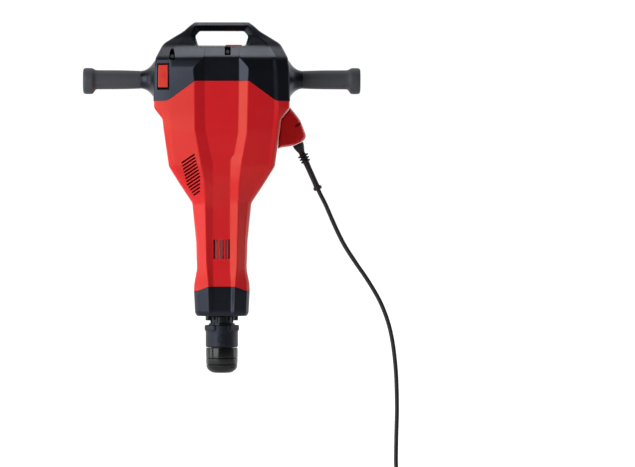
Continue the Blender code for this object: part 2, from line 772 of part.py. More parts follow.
def gear_train():
    """Rotor pinion, idler and crank gear, in mesh at rest: a tooth on each line of centres meets a space."""
    motor_at = (0.0, MOTOR_Z)
    idler_at = (IDLER_Y, IDLER_Z)
    crank_at = (0.0, CRANK_Z)
    down_first = math.atan2(IDLER_Z - MOTOR_Z, IDLER_Y)
    down_second = math.atan2(CRANK_Z - IDLER_Z, -IDLER_Y)
    half_space = math.pi / WHEEL_TEETH

    pinion = gear_outline(PINION_TEETH, FIRST_MODULE, down_first, motor_at)
    geared_shaft("rotor_shaft", [(0.0060, -0.1060), (0.0060, 0.0400)], pinion, 0.0345, 0.0475, motor_at)
    ring_x("rotor_core", 0.0063, 0.0263, -0.0820, -0.0460, machined_steel, *motor_at)
    ring_x("commutator", 0.0063, 0.0140, -0.1010, -0.0910, copper, *motor_at)
    blades = []
    for i in range(9 * 4):
        around = math.tau * i / (9 * 4)
        radius = (0.018, 0.040, 0.040, 0.018)[i % 4]
        blades.append((radius * math.cos(around), MOTOR_Z + radius * math.sin(around)))
    fan = outline_plate("cooling_fan", [blades, circle(0.0063, motor_at)], -0.0360, -0.0270, black_plastic)
    move_origin(fan, (0.0, *motor_at))

    first_wheel = gear_outline(WHEEL_TEETH, FIRST_MODULE, down_first + math.pi + half_space, idler_at)
    wheel = outline_plate("idler_gear", [first_wheel, circle(0.0063, idler_at)], 0.0350, 0.0470,
                          machined_steel)
    move_origin(wheel, (0.0, *idler_at))
    pinion = gear_outline(PINION_TEETH, SECOND_MODULE, down_second, idler_at)
    geared_shaft("idler_shaft", [(0.0060, 0.0205), (0.0060, 0.0815)], pinion, 0.0510, 0.0670, idler_at)
    second_wheel = gear_outline(WHEEL_TEETH, SECOND_MODULE, down_second + math.pi + half_space, crank_at)
    wheel = outline_plate("crank_gear", [second_wheel, circle(0.0113, crank_at)], 0.0520, 0.0660,
                          machined_steel)
    move_origin(wheel, (0.0, *crank_at))


PIN_Z = CRANK_Z - CRANK_RADIUS
WRIST_Z = PIN_Z - ROD_LENGTH


def crank():
    profile = [(0.0300, 0.0083), (0.0300, 0.0180), (0.0110, 0.0180), (0.0110, 0.0815)]
    blank = turned_x("crank_blank", profile, None, 0.0, CRANK_Z, steps=FINE_STEPS)
    pin = rod_cutter("crank_pin", 0.0080, (-0.0070, 0, PIN_Z), (0.0100, 0, PIN_Z))
    boolean(blank, pin, "UNION")
    made = applied(blank, "crankshaft", machined_steel)
    move_origin(made, (0.0, 0.0, CRANK_Z))
    ring_x("crank_bearing", 0.0113, 0.0220, 0.0203, 0.0297, machined_steel, 0.0, CRANK_Z)


def connecting_rod():
    """Big end on the crank pin, shank, and a small end that carries the wrist pin."""
    big = ring_x("rod_blank", 0.0083, 0.0140, -0.0060, 0.0060, None, 0.0, PIN_Z)
    shank = box_cutter("rod_shank", (-0.0050, -0.0055, WRIST_Z + 0.0075), (0.0050, 0.0055, PIN_Z - 0.0100))
    small = as_cutter(ring_x("rod_small_end", 0.0053, 0.0090, -0.0060, 0.0060, None, 0.0, WRIST_Z))
    boolean(big, shank, "UNION")
    boolean(big, small, "UNION")
    made = applied(big, "connecting_rod", machined_steel)
    move_origin(made, (0.0, 0.0, PIN_Z))
    turned_x("wrist_pin", [(0.0050, -0.0075), (0.0050, 0.0075)], machined_steel, 0.0, WRIST_Z, steps=20)


def percussion():
    """Piston, cylinder, striker and anvil on the tool's axis.

    The piston's fork is a stroke deeper than its pin needs.
    """
    fork = 0.0085
    fork_floor = WRIST_Z - 0.0130 - STROKE
    crown = fork_floor - 0.0080
    piston = turned("drive_piston", [(0.0248, WRIST_Z + 0.009), (0.0248, crown)], machined_steel)
    boolean(piston, box_cutter("fork_slot", (-fork, -0.04, fork_floor), (fork, 0.04, WRIST_Z + 0.02)))
    cylinder = ring("percussion_cylinder", CYLINDER_BORE, CYLINDER_RADIUS, -0.4040, CASE_BOTTOM - 0.0006,
                    machined_steel)
    boolean(cylinder, box_cutter("rod_clearance", (-0.0095, -0.05, WRIST_Z - 0.0130), (0.0095, 0.05, -0.19)))
    turned("striker", [(0.0230, -0.3270), (0.0248, -0.3290), (0.0248, -0.3800), (0.0140, -0.3870)],
           machined_steel)
    turned("anvil", [(0.0120, -0.3960), (0.0120, -0.4250), (0.0200, -0.4250), (0.0200, -0.4455),
                     (0.0135, -0.4455), (0.0135, -0.4750)], machined_steel)


def bolt_holes(name, radius, low, high):
    """Four round cutters on the bolt circle, in one object."""
    shape = bmesh.new()
    for angle in BOLT_ANGLES:
        around = math.radians(angle)
        middle = (BOLT_CIRCLE * math.cos(around), BOLT_CIRCLE * math.sin(around), (low + high) / 2)
        bmesh.ops.create_cone(shape, cap_ends=True, segments=16, radius1=radius, radius2=radius,
                              depth=high - low, matrix=Matrix.Translation(middle))
    mesh = bpy.data.meshes.new(name)
    shape.to_mesh(mesh)
    shape.free()
    return as_cutter(place(name, mesh, None, CUTTERS))


def barrel_and_holder():
    barrel = [(0.0500, CASE_BOTTOM - GAP), (0.0500, -0.2120), (0.0440, -0.2120), (0.0440, -0.4200),
              (0.0430, -0.4250), (0.0430, HOLDER_FLANGE_TOP + GAP), (BARREL_BORE, HOLDER_FLANGE_TOP + GAP),
              (BARREL_BORE, CASE_BOTTOM - GAP)]
    barrel = turned("barrel", barrel, cast_aluminium, True)
    boolean(barrel, bolt_holes("barrel_thread", 0.0043, HOLDER_FLANGE_TOP - 0.01, -0.4580))
    top = -0.4080
    holder = [
        (0.0305, top), (0.0305, HOLDER_FLANGE_TOP), (0.0415, HOLDER_FLANGE_TOP),
        (0.0415, HOLDER_FLANGE_BOTTOM), (0.0240, HOLDER_FLANGE_BOTTOM), (0.0240, -0.5030), (0.0273, -0.5036),
        (0.0273, -0.5125), (0.0225, -0.5125), (0.0225, -0.5900), (0.0130, -0.5900), (0.0130, -0.4700),
        (0.0140, -0.4700), (0.0140, -0.4460), (0.0204, -0.4460), (0.0204, top),
    ]
    holder = turned("tool_holder", holder, machined_steel, True, FINE_STEPS)
    corner = HEX_ACROSS_FLATS / 2 / math.cos(math.pi / 6)
    socket = rod_cutter("hex_socket", corner, (0, 0, -0.600), (0, 0, -0.4690), "Z", 6)
    socket.rotation_euler = (0.0, 0.0, math.pi / 6)
    boolean(holder, socket)
    low = HOLDER_FLANGE_BOTTOM - 0.005
    boolean(holder, bolt_holes("bolt_clearance", 0.0043, low, HOLDER_FLANGE_TOP + 0.005))
    boolean(holder, rod_cutter("lock_pin_hole", 0.0053, (-0.04, 0, LOCK_PIN_Z), (0.04, 0, LOCK_PIN_Z)))
    head = HOLDER_FLANGE_BOTTOM - GAP
    bolt = [(0.0055, head - 0.009), (0.0060, head - 0.008), (0.0060, head), (0.0040, head),
            (0.0040, -0.4600)]
    for number, angle in enumerate(BOLT_ANGLES, 1):
        around = math.radians(angle)
        centre = (BOLT_CIRCLE * math.cos(around), BOLT_CIRCLE * math.sin(around), 0.0)
        turned(f"holder_bolt_{number}", bolt, machined_steel, steps=16, centre=centre)


def locking_parts():
    sleeve = [(0.0338, -0.5070), (0.0362, -0.5100), (0.0362, -0.5165), (0.0335, -0.5200), (0.0335, -0.5530),
              (0.0262, -0.5530), (0.0262, -0.5415), (0.0230, -0.5365), (0.0230, -0.5230), (0.0280, -0.5225),
              (0.0280, -0.5070)]
    turned("locking_sleeve", sleeve, black_plastic, True, FINE_STEPS)
    for side, sign in (("right", 1), ("left", -1)):
        profile = [(0.0035, sign * 0.0105), (0.0050, sign * 0.0130), (0.0050, sign * 0.0208),
                   (0.0038, sign * 0.0220)]
        turned_x("lock_pin_" + side, profile, machined_steel, 0.0, LOCK_PIN_Z)
    cap = [(0.0332, -0.5560), (0.0332, -0.5740), (0.0318, -0.5755), (0.0332, -0.5770), (0.0328, -0.5872),
           (0.0314, -0.5887), (0.0324, -0.5902), (0.0314, -0.5965), (0.0200, CAP_BOTTOM),
           (0.0168, CAP_BOTTOM), (0.0168, -0.5903), (0.0229, -0.5903), (0.0229, -0.5560)]
    turned("dust_cap", cap, soft_rubber, True, FINE_STEPS)


# The cord and what it leaves from

def cord_boss():
    outline = [(0.1409, -0.0560), (0.1622, -0.0824), (0.1750, -0.1167), (0.1698, -0.1260), (0.1442, -0.1370),
               (0.1245, -0.1395), (0.1161, -0.1430), (0.1200, -0.1040), (0.1223, -0.0820), (0.1397, -0.0603)]
    boss = outline_plate("boss_blank", [outline], -0.046, -0.002, None, CUTTERS)
    boss.matrix_world = Matrix.Rotation(-math.pi / 2, 4, "Z")
    made = applied(boss, "cord_boss", housing_red)
    bevel(made, 0.0035, 1, 30)


def strain_relief():
    profile = [(0.0118, 0.0), (0.0100, 0.0100), (0.0062, 0.0190), (0.0062, 0.0280), (0.0100, 0.0300),
               (0.0066, 0.0330), (0.0098, 0.0360), (0.0066, 0.0390), (0.0092, 0.0420), (0.0064, 0.0450),
               (0.0060, 0.0960), (0.0092, 0.1000), (0.0080, 0.1052)]
    relief = turned("strain_relief", profile, soft_rubber, steps=16)
    relief.location = RELIEF_TOP + RELIEF_DIRECTION * GAP
    relief.rotation_euler = RELIEF_DIRECTION.to_track_quat("Z", "Y").to_euler()


def smooth_route(route, spacing):
    """Evenly spaced points on the Catmull-Rom curve through a route."""
    knots = [Vector(p) for p in route]
    knots = [2 * knots[0] - knots[1]] + knots + [2 * knots[-1] - knots[-2]]
    fine = []
    for a, b, c, d in zip(knots, knots[1:], knots[2:], knots[3:]):
        for i in range(12):
            t = i / 12
            fine.append(0.5 * (2 * b + (c - a) * t + (2 * a - 5 * b + 4 * c - d) * t * t
                               + (3 * b - a - 3 * c + d) * t ** 3))
    fine.append(knots[-2])
    even = [fine[0]]
    for point in fine[1:-1]:
        if (point - even[-1]).length >= spacing and (point - fine[-1]).length > spacing / 2:
            even.append(point)
    return even + [fine[-1]]


def mains_cord():
    start = RELIEF_TOP + RELIEF_DIRECTION * (0.1052 + 2 * GAP)
    route = (tuple(start),) + CORD_ROUTE[1:]
    points = smooth_route(route, CORD_SPACING)
    curve = bpy.data.curves.new("cord", "CURVE")
    curve.dimensions = "3D"
    curve.bevel_depth = CORD_RADIUS
    curve.bevel_resolution = 2
    curve.use_fill_caps = True
    spline = curve.splines.new("POLY")
    spline.points.add(len(points) - 1)
    for slot, point in zip(spline.points, points):
        slot.co = (*point, 1.0)
    cord = place("cord", curve, None, CUTTERS)
    applied(cord, "mains_cord", soft_rubber)


def coil_and_plug():
    ring("cord_coil", COIL_INNER, COIL_OUTER, COIL_LOW, COIL_HIGH, soft_rubber, steps=FINE_STEPS,
         centre=(*COIL_CENTRE, 0.0))
    profile = [(0.0060, 0.0), (0.0085, -0.0240), (0.0140, -0.0300), (0.0185, -0.0360), (0.0185, -0.0570),
               (0.0170, -0.0585)]
    plug = turned("plug_blank", profile, None, steps=24)
    for sign in (1, -1):
        y = sign * 0.0095
        pin = rod_cutter("plug_pin", 0.0024, (0, y, -0.0770), (0, y, -0.0560), "Z", 12)
        boolean(plug, pin, "UNION")
    made = applied(plug, "mains_plug", soft_rubber)
    made.data.transform(Matrix.Translation((PLUG_X, PLUG_Y, PLUG_Z)) @ Matrix.Rotation(math.pi / 2, 4, "Y"))


red_housings()
nose_cover()
handle_housings()
housing_screws()
indicator_panel()
grips()
handle_bar()
handle_bridge()
suspension_springs()
switch()
control_module()
crankcase()
case_covers()
motor()
gear_train()
crank()
connecting_rod()
percussion()
barrel_and_holder()
locking_parts()
cord_boss()
strain_relief()
mains_cord()
coil_and_plug()
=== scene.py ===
# %% [markdown]
# # An electric jackhammer
#
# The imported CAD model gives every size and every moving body. This notebook builds the looks
# around it: moulded plastic shells with crisp facets, rubber grips, a rubber cap and a mains cord.
# All lengths are metres, the front is towards -Y, and the origin lies between the two grips.

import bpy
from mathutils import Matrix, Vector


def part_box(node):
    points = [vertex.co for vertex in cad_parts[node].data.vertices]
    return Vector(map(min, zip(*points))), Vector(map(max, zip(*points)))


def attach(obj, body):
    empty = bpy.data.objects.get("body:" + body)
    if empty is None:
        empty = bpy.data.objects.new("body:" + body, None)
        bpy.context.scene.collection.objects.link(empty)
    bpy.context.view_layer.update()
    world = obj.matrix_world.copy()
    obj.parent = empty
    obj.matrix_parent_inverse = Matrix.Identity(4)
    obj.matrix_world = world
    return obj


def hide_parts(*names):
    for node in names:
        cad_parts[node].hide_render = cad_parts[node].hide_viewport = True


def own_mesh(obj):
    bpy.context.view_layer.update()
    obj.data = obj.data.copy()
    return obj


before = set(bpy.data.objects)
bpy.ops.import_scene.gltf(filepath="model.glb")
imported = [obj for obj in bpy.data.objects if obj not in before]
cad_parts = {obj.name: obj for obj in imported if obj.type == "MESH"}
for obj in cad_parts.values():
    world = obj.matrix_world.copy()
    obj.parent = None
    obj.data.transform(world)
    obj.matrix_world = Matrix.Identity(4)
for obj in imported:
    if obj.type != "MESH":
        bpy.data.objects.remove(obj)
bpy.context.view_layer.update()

# %% Tools of this notebook
import math

import bmesh
import bpy
from mathutils import Matrix, Vector

SCENE = bpy.context.scene


def middle_of(node):
    """The centre of a CAD node's box."""
    low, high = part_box(node)
    return (Vector(low) + Vector(high)) / 2


# %% [markdown]
# ## Camera
#
# A product picture of a tall tool is taken from far away with a long lens, so that upright edges
# stay parallel. An orthographic camera would do that too, but a perspective one keeps a trace of
# depth. At 10 m this lens takes in 1.31 m, and the camera looks a little past the tool's right.

# %% Camera
CAMERA_PLACE = Vector((0.0, -10.0, -0.248))
CAMERA_AIM = Vector((0.198, 0.0, -0.318))
LENS_MM, SENSOR_MM = 273.95, 36.0

camera_data = bpy.data.cameras.new("catalogue_camera")
camera_data.lens = LENS_MM
camera_data.sensor_width = SENSOR_MM
camera_data.clip_end = 50.0
camera = bpy.data.objects.new("catalogue_camera", camera_data)
SCENE.collection.objects.link(camera)
camera.location = CAMERA_PLACE
camera.rotation_euler = (CAMERA_AIM - CAMERA_PLACE).to_track_quat("-Z", "Y").to_euler()
SCENE.camera = camera
print("camera", tuple(camera.location), "lens", camera_data.lens)

# %% [markdown]
# ## Colours and node helper
#
# Colours are written as the hex values a painter would read off a swatch, and one function turns
# them into the linear values that shaders add and multiply. One more function adds a node with
# its settings, its numbers and its links, so that a material reads as a list of what it does.
# Three small ones build on it, for a noise, a mix of two colours and a bump.


# %% Colour and node helpers
def linear(code):
    """An sRGB hex colour as linear red, green and blue with full alpha."""
    parts = [int(code[i:i + 2], 16) / 255 for i in (1, 3, 5)]
    return (*[c / 12.92 if c <= 0.04045 else ((c + 0.055) / 1.055) ** 2.4 for c in parts], 1.0)


def per_mm(size):
    """The scale of a pattern on metre coordinates whose features are this many millimetres."""
    return 1000.0 / size


def add_node(tree, kind, values=(), links=(), **settings):
    """A new node: settings are its properties, values fill sockets and links join them."""
    node = tree.nodes.new(kind)
    for name, value in settings.items():
        setattr(node, name, value)
    for socket, value in dict(values).items():
        node.inputs[socket].default_value = value
    for socket, source in dict(links).items():
        tree.links.new(source, node.inputs[socket])
    return node


def noise(tree, place, size_mm, detail):
    """The socket of a noise whose features are this many millimetres wide."""
    node = add_node(tree, "ShaderNodeTexNoise", {"Scale": per_mm(size_mm), "Detail": detail},
                    {"Vector": place})
    return node.outputs["Fac"]


# the sockets of a mix node that belong to its colours
MIX_FIRST, MIX_SECOND, MIX_RESULT = 6, 7, 2


def blend(tree, share, first, second):
    """The socket of a mix of two colours, each given as a hex value or as a socket."""
    node = add_node(tree, "ShaderNodeMix", (), {0: share}, data_type="RGBA")
    for socket, colour in ((MIX_FIRST, first), (MIX_SECOND, second)):
        if isinstance(colour, str):
            node.inputs[socket].default_value = linear(colour)
        else:
            tree.links.new(colour, node.inputs[socket])
    return node.outputs[MIX_RESULT]


def finish_surface(tree, shader, colour, marks, gloss, bump):
    """Joins a colour, a gloss that varies with `marks` and a bump to the shader."""
    tree.links.new(colour, shader.inputs["Base Color"])
    shine = add_node(tree, "ShaderNodeMapRange", {"To Min": gloss[0], "To Max": gloss[1]},
                     {"Value": marks})
    tree.links.new(shine.outputs["Result"], shader.inputs["Roughness"])
    height, strength, distance = bump
    relief = add_node(tree, "ShaderNodeBump", {"Strength": strength, "Distance": distance},
                      {"Height": height})
    tree.links.new(relief.outputs["Normal"], shader.inputs["Normal"])


def new_material(name, roughness, metallic=0.0):
    """A material with a Principled shader; returns it with its tree, shader and coordinates."""
    material = bpy.data.materials.new(name)
    material.use_nodes = True
    tree = material.node_tree
    shader = tree.nodes["Principled BSDF"]
    shader.inputs["Roughness"].default_value = roughness
    shader.inputs["Metallic"].default_value = metallic
    place = add_node(tree, "ShaderNodeTexCoord")
    return material, tree, shader, place.outputs["Object"]


# %% [markdown]
# ## Moulded plastics and rubbers
#
# The housings are glass-filled nylon, injection moulded against a spark-eroded steel tool. That
# leaves a fine pebbled grain, so the gloss is broken and soft. A real grain of 0.15 mm is too
# fine to show at this distance, so it is drawn at 0.7 to 1.2 mm. A slow change of tone, a
# hand's width across, is what the eye reads as a real moulding instead of flat paint. The red
# has a warm edge to its gloss and the black a cool one, which the specular tint gives.


# %% Moulded materials
def moulded(name, colour, deep_colour, roughness, grain_mm, grain_depth, gloss_change=0.06):
    """A moulded plastic or rubber: slow tone change, a fine grain, gloss that varies a little."""
    material, tree, shader, place = new_material(name, roughness)
    tone = blend(tree, noise(tree, place, 90, 3.0), deep_colour, colour)
    finish_surface(tree, shader, tone, noise(tree, place, 25, 4.0),
                   (roughness - gloss_change, roughness + gloss_change),
                   (noise(tree, place, grain_mm, 2.0), grain_depth, 0.0002))
    shader.inputs["IOR"].default_value = 1.5
    return material


RED_NYLON = moulded("red_moulded_nylon", "#E51F2C", "#DB1C27", 0.34, 0.8, 0.25)
BLACK_NYLON = moulded("black_moulded_nylon", "#0D0F13", "#0A0C0F", 0.29, 0.9, 0.25)
RECESS_NYLON = moulded("black_switch_frame_nylon", "#0B0C0E", "#090A0C", 0.45, 0.7, 0.3)
GRIP_RUBBER = moulded("overmoulded_grip_rubber", "#43464C", "#3C3F45", 0.62, 0.7, 0.5)
SLEEVE_NYLON = moulded("matt_sleeve_nylon", "#0F1114", "#0C0E11", 0.46, 1.0, 0.4)
CAP_RUBBER = moulded("glossy_cap_rubber", "#0A0C0E", "#07090A", 0.17, 1.2, 0.1, 0.04)
CORD_RUBBER = moulded("rubber_cord_sheath", "#171A1C", "#121516", 0.55, 1.2, 0.05)
SIGNAL_RED = moulded("signal_red_polycarbonate", "#F24A3E", "#EC4236", 0.3, 0.8, 0.15)
WARM_EDGE, COOL_EDGE = "#FFCFA6", "#D6E1FF"
for finish, tint in ((RED_NYLON, WARM_EDGE), (BLACK_NYLON, COOL_EDGE), (RECESS_NYLON, COOL_EDGE),
                     (SLEEVE_NYLON, COOL_EDGE)):
    finish.node_tree.nodes["Principled BSDF"].inputs["Specular Tint"].default_value = linear(tint)
print("moulded materials", [m.name for m in bpy.data.materials])

# %% [markdown]
# ## Metals
#
# Turned steel carries fine rings from the lathe tool, which stretch its highlights. A die-cast
# crankcase has the satin, slightly cloudy skin of aluminium frozen against steel. Copper windings
# show as fine lacquered strands. Each is a metal, so its colour sits on the reflection itself.


# %% Metals
def metal(name, colour, dark_colour, roughness, pattern_mm, stretch, depth):
    """A metal whose marks follow a stretched noise: equal numbers cast, unequal ones machined."""
    material, tree, shader, place = new_material(name, roughness, 1.0)
    laid = add_node(tree, "ShaderNodeMapping", {"Scale": stretch}, {"Vector": place})
    marks = noise(tree, laid.outputs["Vector"], pattern_mm, 3.0)
    finish_surface(tree, shader, blend(tree, marks, dark_colour, colour), marks,
                   (roughness - 0.08, roughness + 0.1), (marks, depth, 0.0001))
    return material


TURNED = (0.15, 0.15, 1.0)
EVEN = (1.0, 1.0, 1.0)
TURNED_STEEL = metal("turned_steel", "#B9BABD", "#8F9194", 0.28, 1.6, TURNED, 0.3)
GROUND_STEEL = metal("ground_gear_steel", "#AEB0B3", "#86888C", 0.25, 1.2, (1.0, 0.2, 0.2), 0.25)
BLACKED_STEEL = metal("blacked_holder_steel", "#3A3D42", "#26282C", 0.3, 1.4, (0.2, 0.2, 1.0), 0.3)
ZINCED_STEEL = metal("zinc_plated_screw_steel", "#C4C6C9", "#A0A2A6", 0.22, 0.8, EVEN, 0.2)
CAST_ALUMINIUM = metal("die_cast_aluminium", "#B4B6B8", "#8E9092", 0.45, 2.4, EVEN, 0.5)
COPPER_WINDING = metal("lacquered_copper_winding", "#C4703A", "#7F3A1B", 0.34, 0.9,
                       (1.0, 0.1, 0.1), 0.6)
BRASS = metal("stamped_brass", "#C9A24B", "#A27C30", 0.32, 1.5, (1.0, 1.0, 0.3), 0.25)
print("materials so far", len(bpy.data.materials))

# %% [markdown]
# ## Mesh helpers
#
# A moulded shell is drawn as rows of points, one row for each height, and the rows are skinned
# into a surface. Corners are rounded before skinning: each becomes a short curve, so that a facet
# stays flat and the edge beside it catches a thin line of light, as a moulded edge does.


# %% Objects, booleans and finished meshes
def show(name, data, material=None):
    """An object for a mesh, a curve or any other data, with one material if it is given."""
    piece = bpy.data.objects.new(name, data)
    SCENE.collection.objects.link(piece)
    if material is not None:
        data.materials.clear()
        data.materials.append(material)
    return piece


def baked(piece, material=None):
    """Turns an object and its modifiers into a plain welded mesh at the origin."""
    bpy.context.view_layer.update()
    graph = bpy.context.evaluated_depsgraph_get()
    mesh = bpy.data.meshes.new_from_object(piece.evaluated_get(graph))
    mesh.transform(piece.matrix_world)
    name = piece.name
    bpy.data.objects.remove(piece, do_unlink=True)
    work = bmesh.new()
    work.from_mesh(mesh)
    bmesh.ops.remove_doubles(work, verts=work.verts, dist=2e-6)
    bmesh.ops.dissolve_degenerate(work, edges=work.edges, dist=2e-6)
    work.to_mesh(mesh)
    work.free()
    mesh.name = name
    return show(name, mesh, material)


def combined(piece, helpers, operation="DIFFERENCE"):
    """Boolean the helpers into or out of a piece, and take the helpers away."""
    for helper in helpers:
        modifier = piece.modifiers.new("cut", "BOOLEAN")
        modifier.operation = operation
        modifier.solver = "EXACT"
        modifier.object = helper
    result = baked(piece)
    for helper in helpers:
        bpy.data.objects.remove(helper, do_unlink=True)
    return result


def crisp(piece, angle=32):
    """Smooth shading that keeps flat facets flat and sharp edges sharp."""
    piece.data.shade_smooth()
    piece.data.set_sharp_from_angle(angle=math.radians(angle))
    modifier = piece.modifiers.new("flat facets", "WEIGHTED_NORMAL")
    modifier.keep_sharp = True
    modifier.weight = 60
    return piece


def stand_for(piece, body, slot, *nodes):
    """What a piece moves with and the CAD it replaces; its finish, `slot`, is not used."""
    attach(piece, body)
    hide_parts(*nodes)
    print(f"{piece.name}: {len(piece.data.polygons)} faces, replaces {', '.join(nodes)}")
    return piece


# %% [markdown]
# ## Outlines, skins and turned bodies
#
# Three ways make nearly every piece here. A skin joins rows of points, for the facetted shells. A
# prism draws an outline out along Y, for pockets and cuts. A turned body spins a profile round
# an axis, as a lathe does. Each closed body has its faces turned outwards, or a Boolean would
# take it for its own inside.

# %% Rounded outlines and skins
def arc_corner(before, corner, after, reach, steps=4):
    """A corner drawn as a short curve that starts and ends at most `reach` away from it."""
    arm_in = before - corner
    arm_out = after - corner
    start = corner + arm_in.normalized() * min(reach, 0.45 * arm_in.length)
    end = corner + arm_out.normalized() * min(reach, 0.45 * arm_out.length)
    shares = [i / steps for i in range(steps + 1)]
    return [start * (1 - t) ** 2 + corner * (2 * t * (1 - t)) + end * t * t for t in shares]


def rounded(corners, reaches, closed=True):
    """An outline with every corner rounded; an open outline keeps its two ends."""
    points = [Vector(c) for c in corners]
    outline = []
    for i, corner in enumerate(points):
        if not closed and i in (0, len(points) - 1):
            outline.append(corner)
            continue
        outline += arc_corner(points[i - 1], corner, points[(i + 1) % len(points)], reaches[i])
    return outline


def rounded_flat(corners, reaches):
    """A closed outline of x and z with every corner rounded."""
    return [(p.x, p.z) for p in rounded([(x, 0, z) for x, z in corners], reaches)]


def rectangle(x_low, z_low, x_high, z_high):
    """The four corners of an upright rectangle, as x and z."""
    return [(x_low, z_low), (x_high, z_low), (x_high, z_high), (x_low, z_high)]


def eased(share):
    """A share between 0 and 1 that starts and ends softly."""
    share = min(max(share, 0.0), 1.0)
    return share * share * (3 - 2 * share)


def finished(name, work, material=None):
    """An object from bmesh work, which ends here."""
    mesh = bpy.data.meshes.new(name)
    work.to_mesh(mesh)
    work.free()
    return show(name, mesh, material)


def tidy_normals(mesh):
    """Turns every face of a closed mesh outwards."""
    work = bmesh.new()
    work.from_mesh(mesh)
    bmesh.ops.recalc_face_normals(work, faces=work.faces)
    work.to_mesh(mesh)
    work.free()


def skin(name, rows, closed=True, capped=False):
    """A surface through rows of points, facing outwards when rows run anticlockwise from above."""
    work = bmesh.new()
    grid = [[work.verts.new(point) for point in row] for row in rows]
    columns = len(rows[0])
    for lower, upper in zip(grid, grid[1:]):
        for i in range(columns if closed else columns - 1):
            j = (i + 1) % columns
            work.faces.new((lower[i], lower[j], upper[j], upper[i]))
    if capped:
        work.faces.new(list(reversed(grid[0])))
        work.faces.new(grid[-1])
    return finished(name, work)


def solid(name, rows):
    """A closed body through rows of points."""
    body = skin(name, rows, capped=True)
    tidy_normals(body.data)
    return body


def prism(outline, low, high):
    """A helper body: an outline of x and z, drawn out along Y."""
    return solid("helper", [[(x, y, z) for x, z in outline] for y in (low, high)])


def turned(name, profile, material=None, steps=64, along="Z", centre=(0, 0, 0), closed=False):
    """A turned piece: (radius, place on the axis) points, spun round; ends at radius 0 close it."""
    work = bmesh.new()
    rings = []
    for radius, place in profile:
        if radius < 1e-7:
            rings.append([work.verts.new((0, 0, place))])
            continue
        angles = [math.tau * i / steps for i in range(steps)]
        rings.append([work.verts.new((radius * math.cos(a), radius * math.sin(a), place))
                      for a in angles])
    pairs = list(zip(rings, rings[1:]))
    if closed:
        pairs.append((rings[-1], rings[0]))
    for a, b in pairs:
        for i in range(steps):
            j = (i + 1) % steps
            corners = [a[i % len(a)], a[j % len(a)], b[j % len(b)], b[i % len(b)]]
            unique = list(dict.fromkeys(corners))
            if len(unique) > 2:
                work.faces.new(unique)
    bmesh.ops.recalc_face_normals(work, faces=work.faces)
    turn = Matrix.Rotation(math.pi / 2, 4, "Y") if along == "X" else Matrix.Identity(4)
    if along == "Y":
        turn = Matrix.Rotation(-math.pi / 2, 4, "X")
    bmesh.ops.transform(work, matrix=Matrix.Translation(centre) @ turn, verts=work.verts)
    return finished(name, work, material)


def peg(radius, low, high, steps, **where):
    """A helper cylinder for a bore or a pin."""
    profile = [(0, low), (radius, low), (radius, high), (0, high)]
    return turned("helper", profile, steps=steps, **where)


def soft_profile(profile, reach):
    """A turned profile with its corners rounded."""
    points = rounded([(r, z, 0) for r, z in profile], [reach] * len(profile), closed=False)
    return [(p.x, p.y) for p in points]


# %% [markdown]
# ## How the sections change with height
#
# A table holds the casing's outline at the heights where its facets change direction. Between two
# of them the outline runs straight, and close to each it bends over a few millimetres, so the
# horizontal creases are rounded too. The outline has a channel down the middle, a ridge on each
# side of it, a broad facet, a narrow chamfer, and a flat side.

# %% Section tables
# height, channel floor y, ridge y, crease x, crease y, side x, side y
HANDLE_TABLE = (
    (-0.0450, 0.0870, 0.0950, 0.1120, 0.0830, 0.1405, 0.0760),
    (0.0220, 0.0870, 0.0950, 0.1095, 0.0830, 0.1395, 0.0760),
    (0.0435, 0.0870, 0.0880, 0.1075, 0.0790, 0.1360, 0.0710),
    (0.0683, 0.0540, 0.0545, 0.0960, 0.0450, 0.1237, 0.0370),
    (0.0745, 0.0500, 0.0505, 0.0920, 0.0415, 0.1193, 0.0340),
    (0.0870, 0.0400, 0.0405, 0.0760, 0.0340, 0.0997, 0.0280),
    (0.0994, 0.0310, 0.0315, 0.0600, 0.0300, 0.0790, 0.0260),
    (0.1118, 0.0240, 0.0245, 0.0500, 0.0235, 0.0657, 0.0200),
    (0.1184, 0.0160, 0.0165, 0.0420, 0.0155, 0.0563, 0.0130),
)
BODY_TABLE = (
    (-0.4360, 0.0570, 0.0630, 0.0505, 0.0490, 0.0578, 0.0390),
    (-0.4220, 0.0560, 0.0620, 0.0500, 0.0480, 0.0573, 0.0380),
    (-0.3910, 0.0525, 0.0600, 0.0455, 0.0450, 0.0515, 0.0350),
    (-0.3350, 0.0535, 0.0610, 0.0470, 0.0460, 0.0530, 0.0360),
    (-0.2550, 0.0600, 0.0680, 0.0520, 0.0520, 0.0610, 0.0430),
    (-0.2120, 0.0740, 0.0810, 0.0780, 0.0640, 0.0892, 0.0560),
    (-0.1800, 0.0788, 0.0880, 0.0985, 0.0720, 0.1090, 0.0650),
    (-0.1640, 0.0796, 0.0895, 0.1007, 0.0739, 0.1112, 0.0673),
    (-0.1040, 0.0870, 0.0950, 0.1088, 0.0810, 0.1197, 0.0760),
    (-0.0820, 0.0870, 0.0950, 0.1105, 0.0820, 0.1220, 0.0770),
    (-0.0600, 0.0870, 0.0950, 0.1120, 0.0830, 0.1393, 0.0760),
    (-0.0040, 0.0870, 0.0950, 0.1110, 0.0830, 0.1400, 0.0760),
)
NOSE_TABLE = (
    (-0.4875, 0.0520, 0.0555, 0.0445, 0.0440, 0.0515, 0.0350),
    (-0.4820, 0.0560, 0.0600, 0.0485, 0.0470, 0.0555, 0.0375),
    (-0.4360, 0.0570, 0.0630, 0.0505, 0.0490, 0.0578, 0.0390),
    (-0.4200, 0.0570, 0.0630, 0.0505, 0.0490, 0.0578, 0.0390),
)
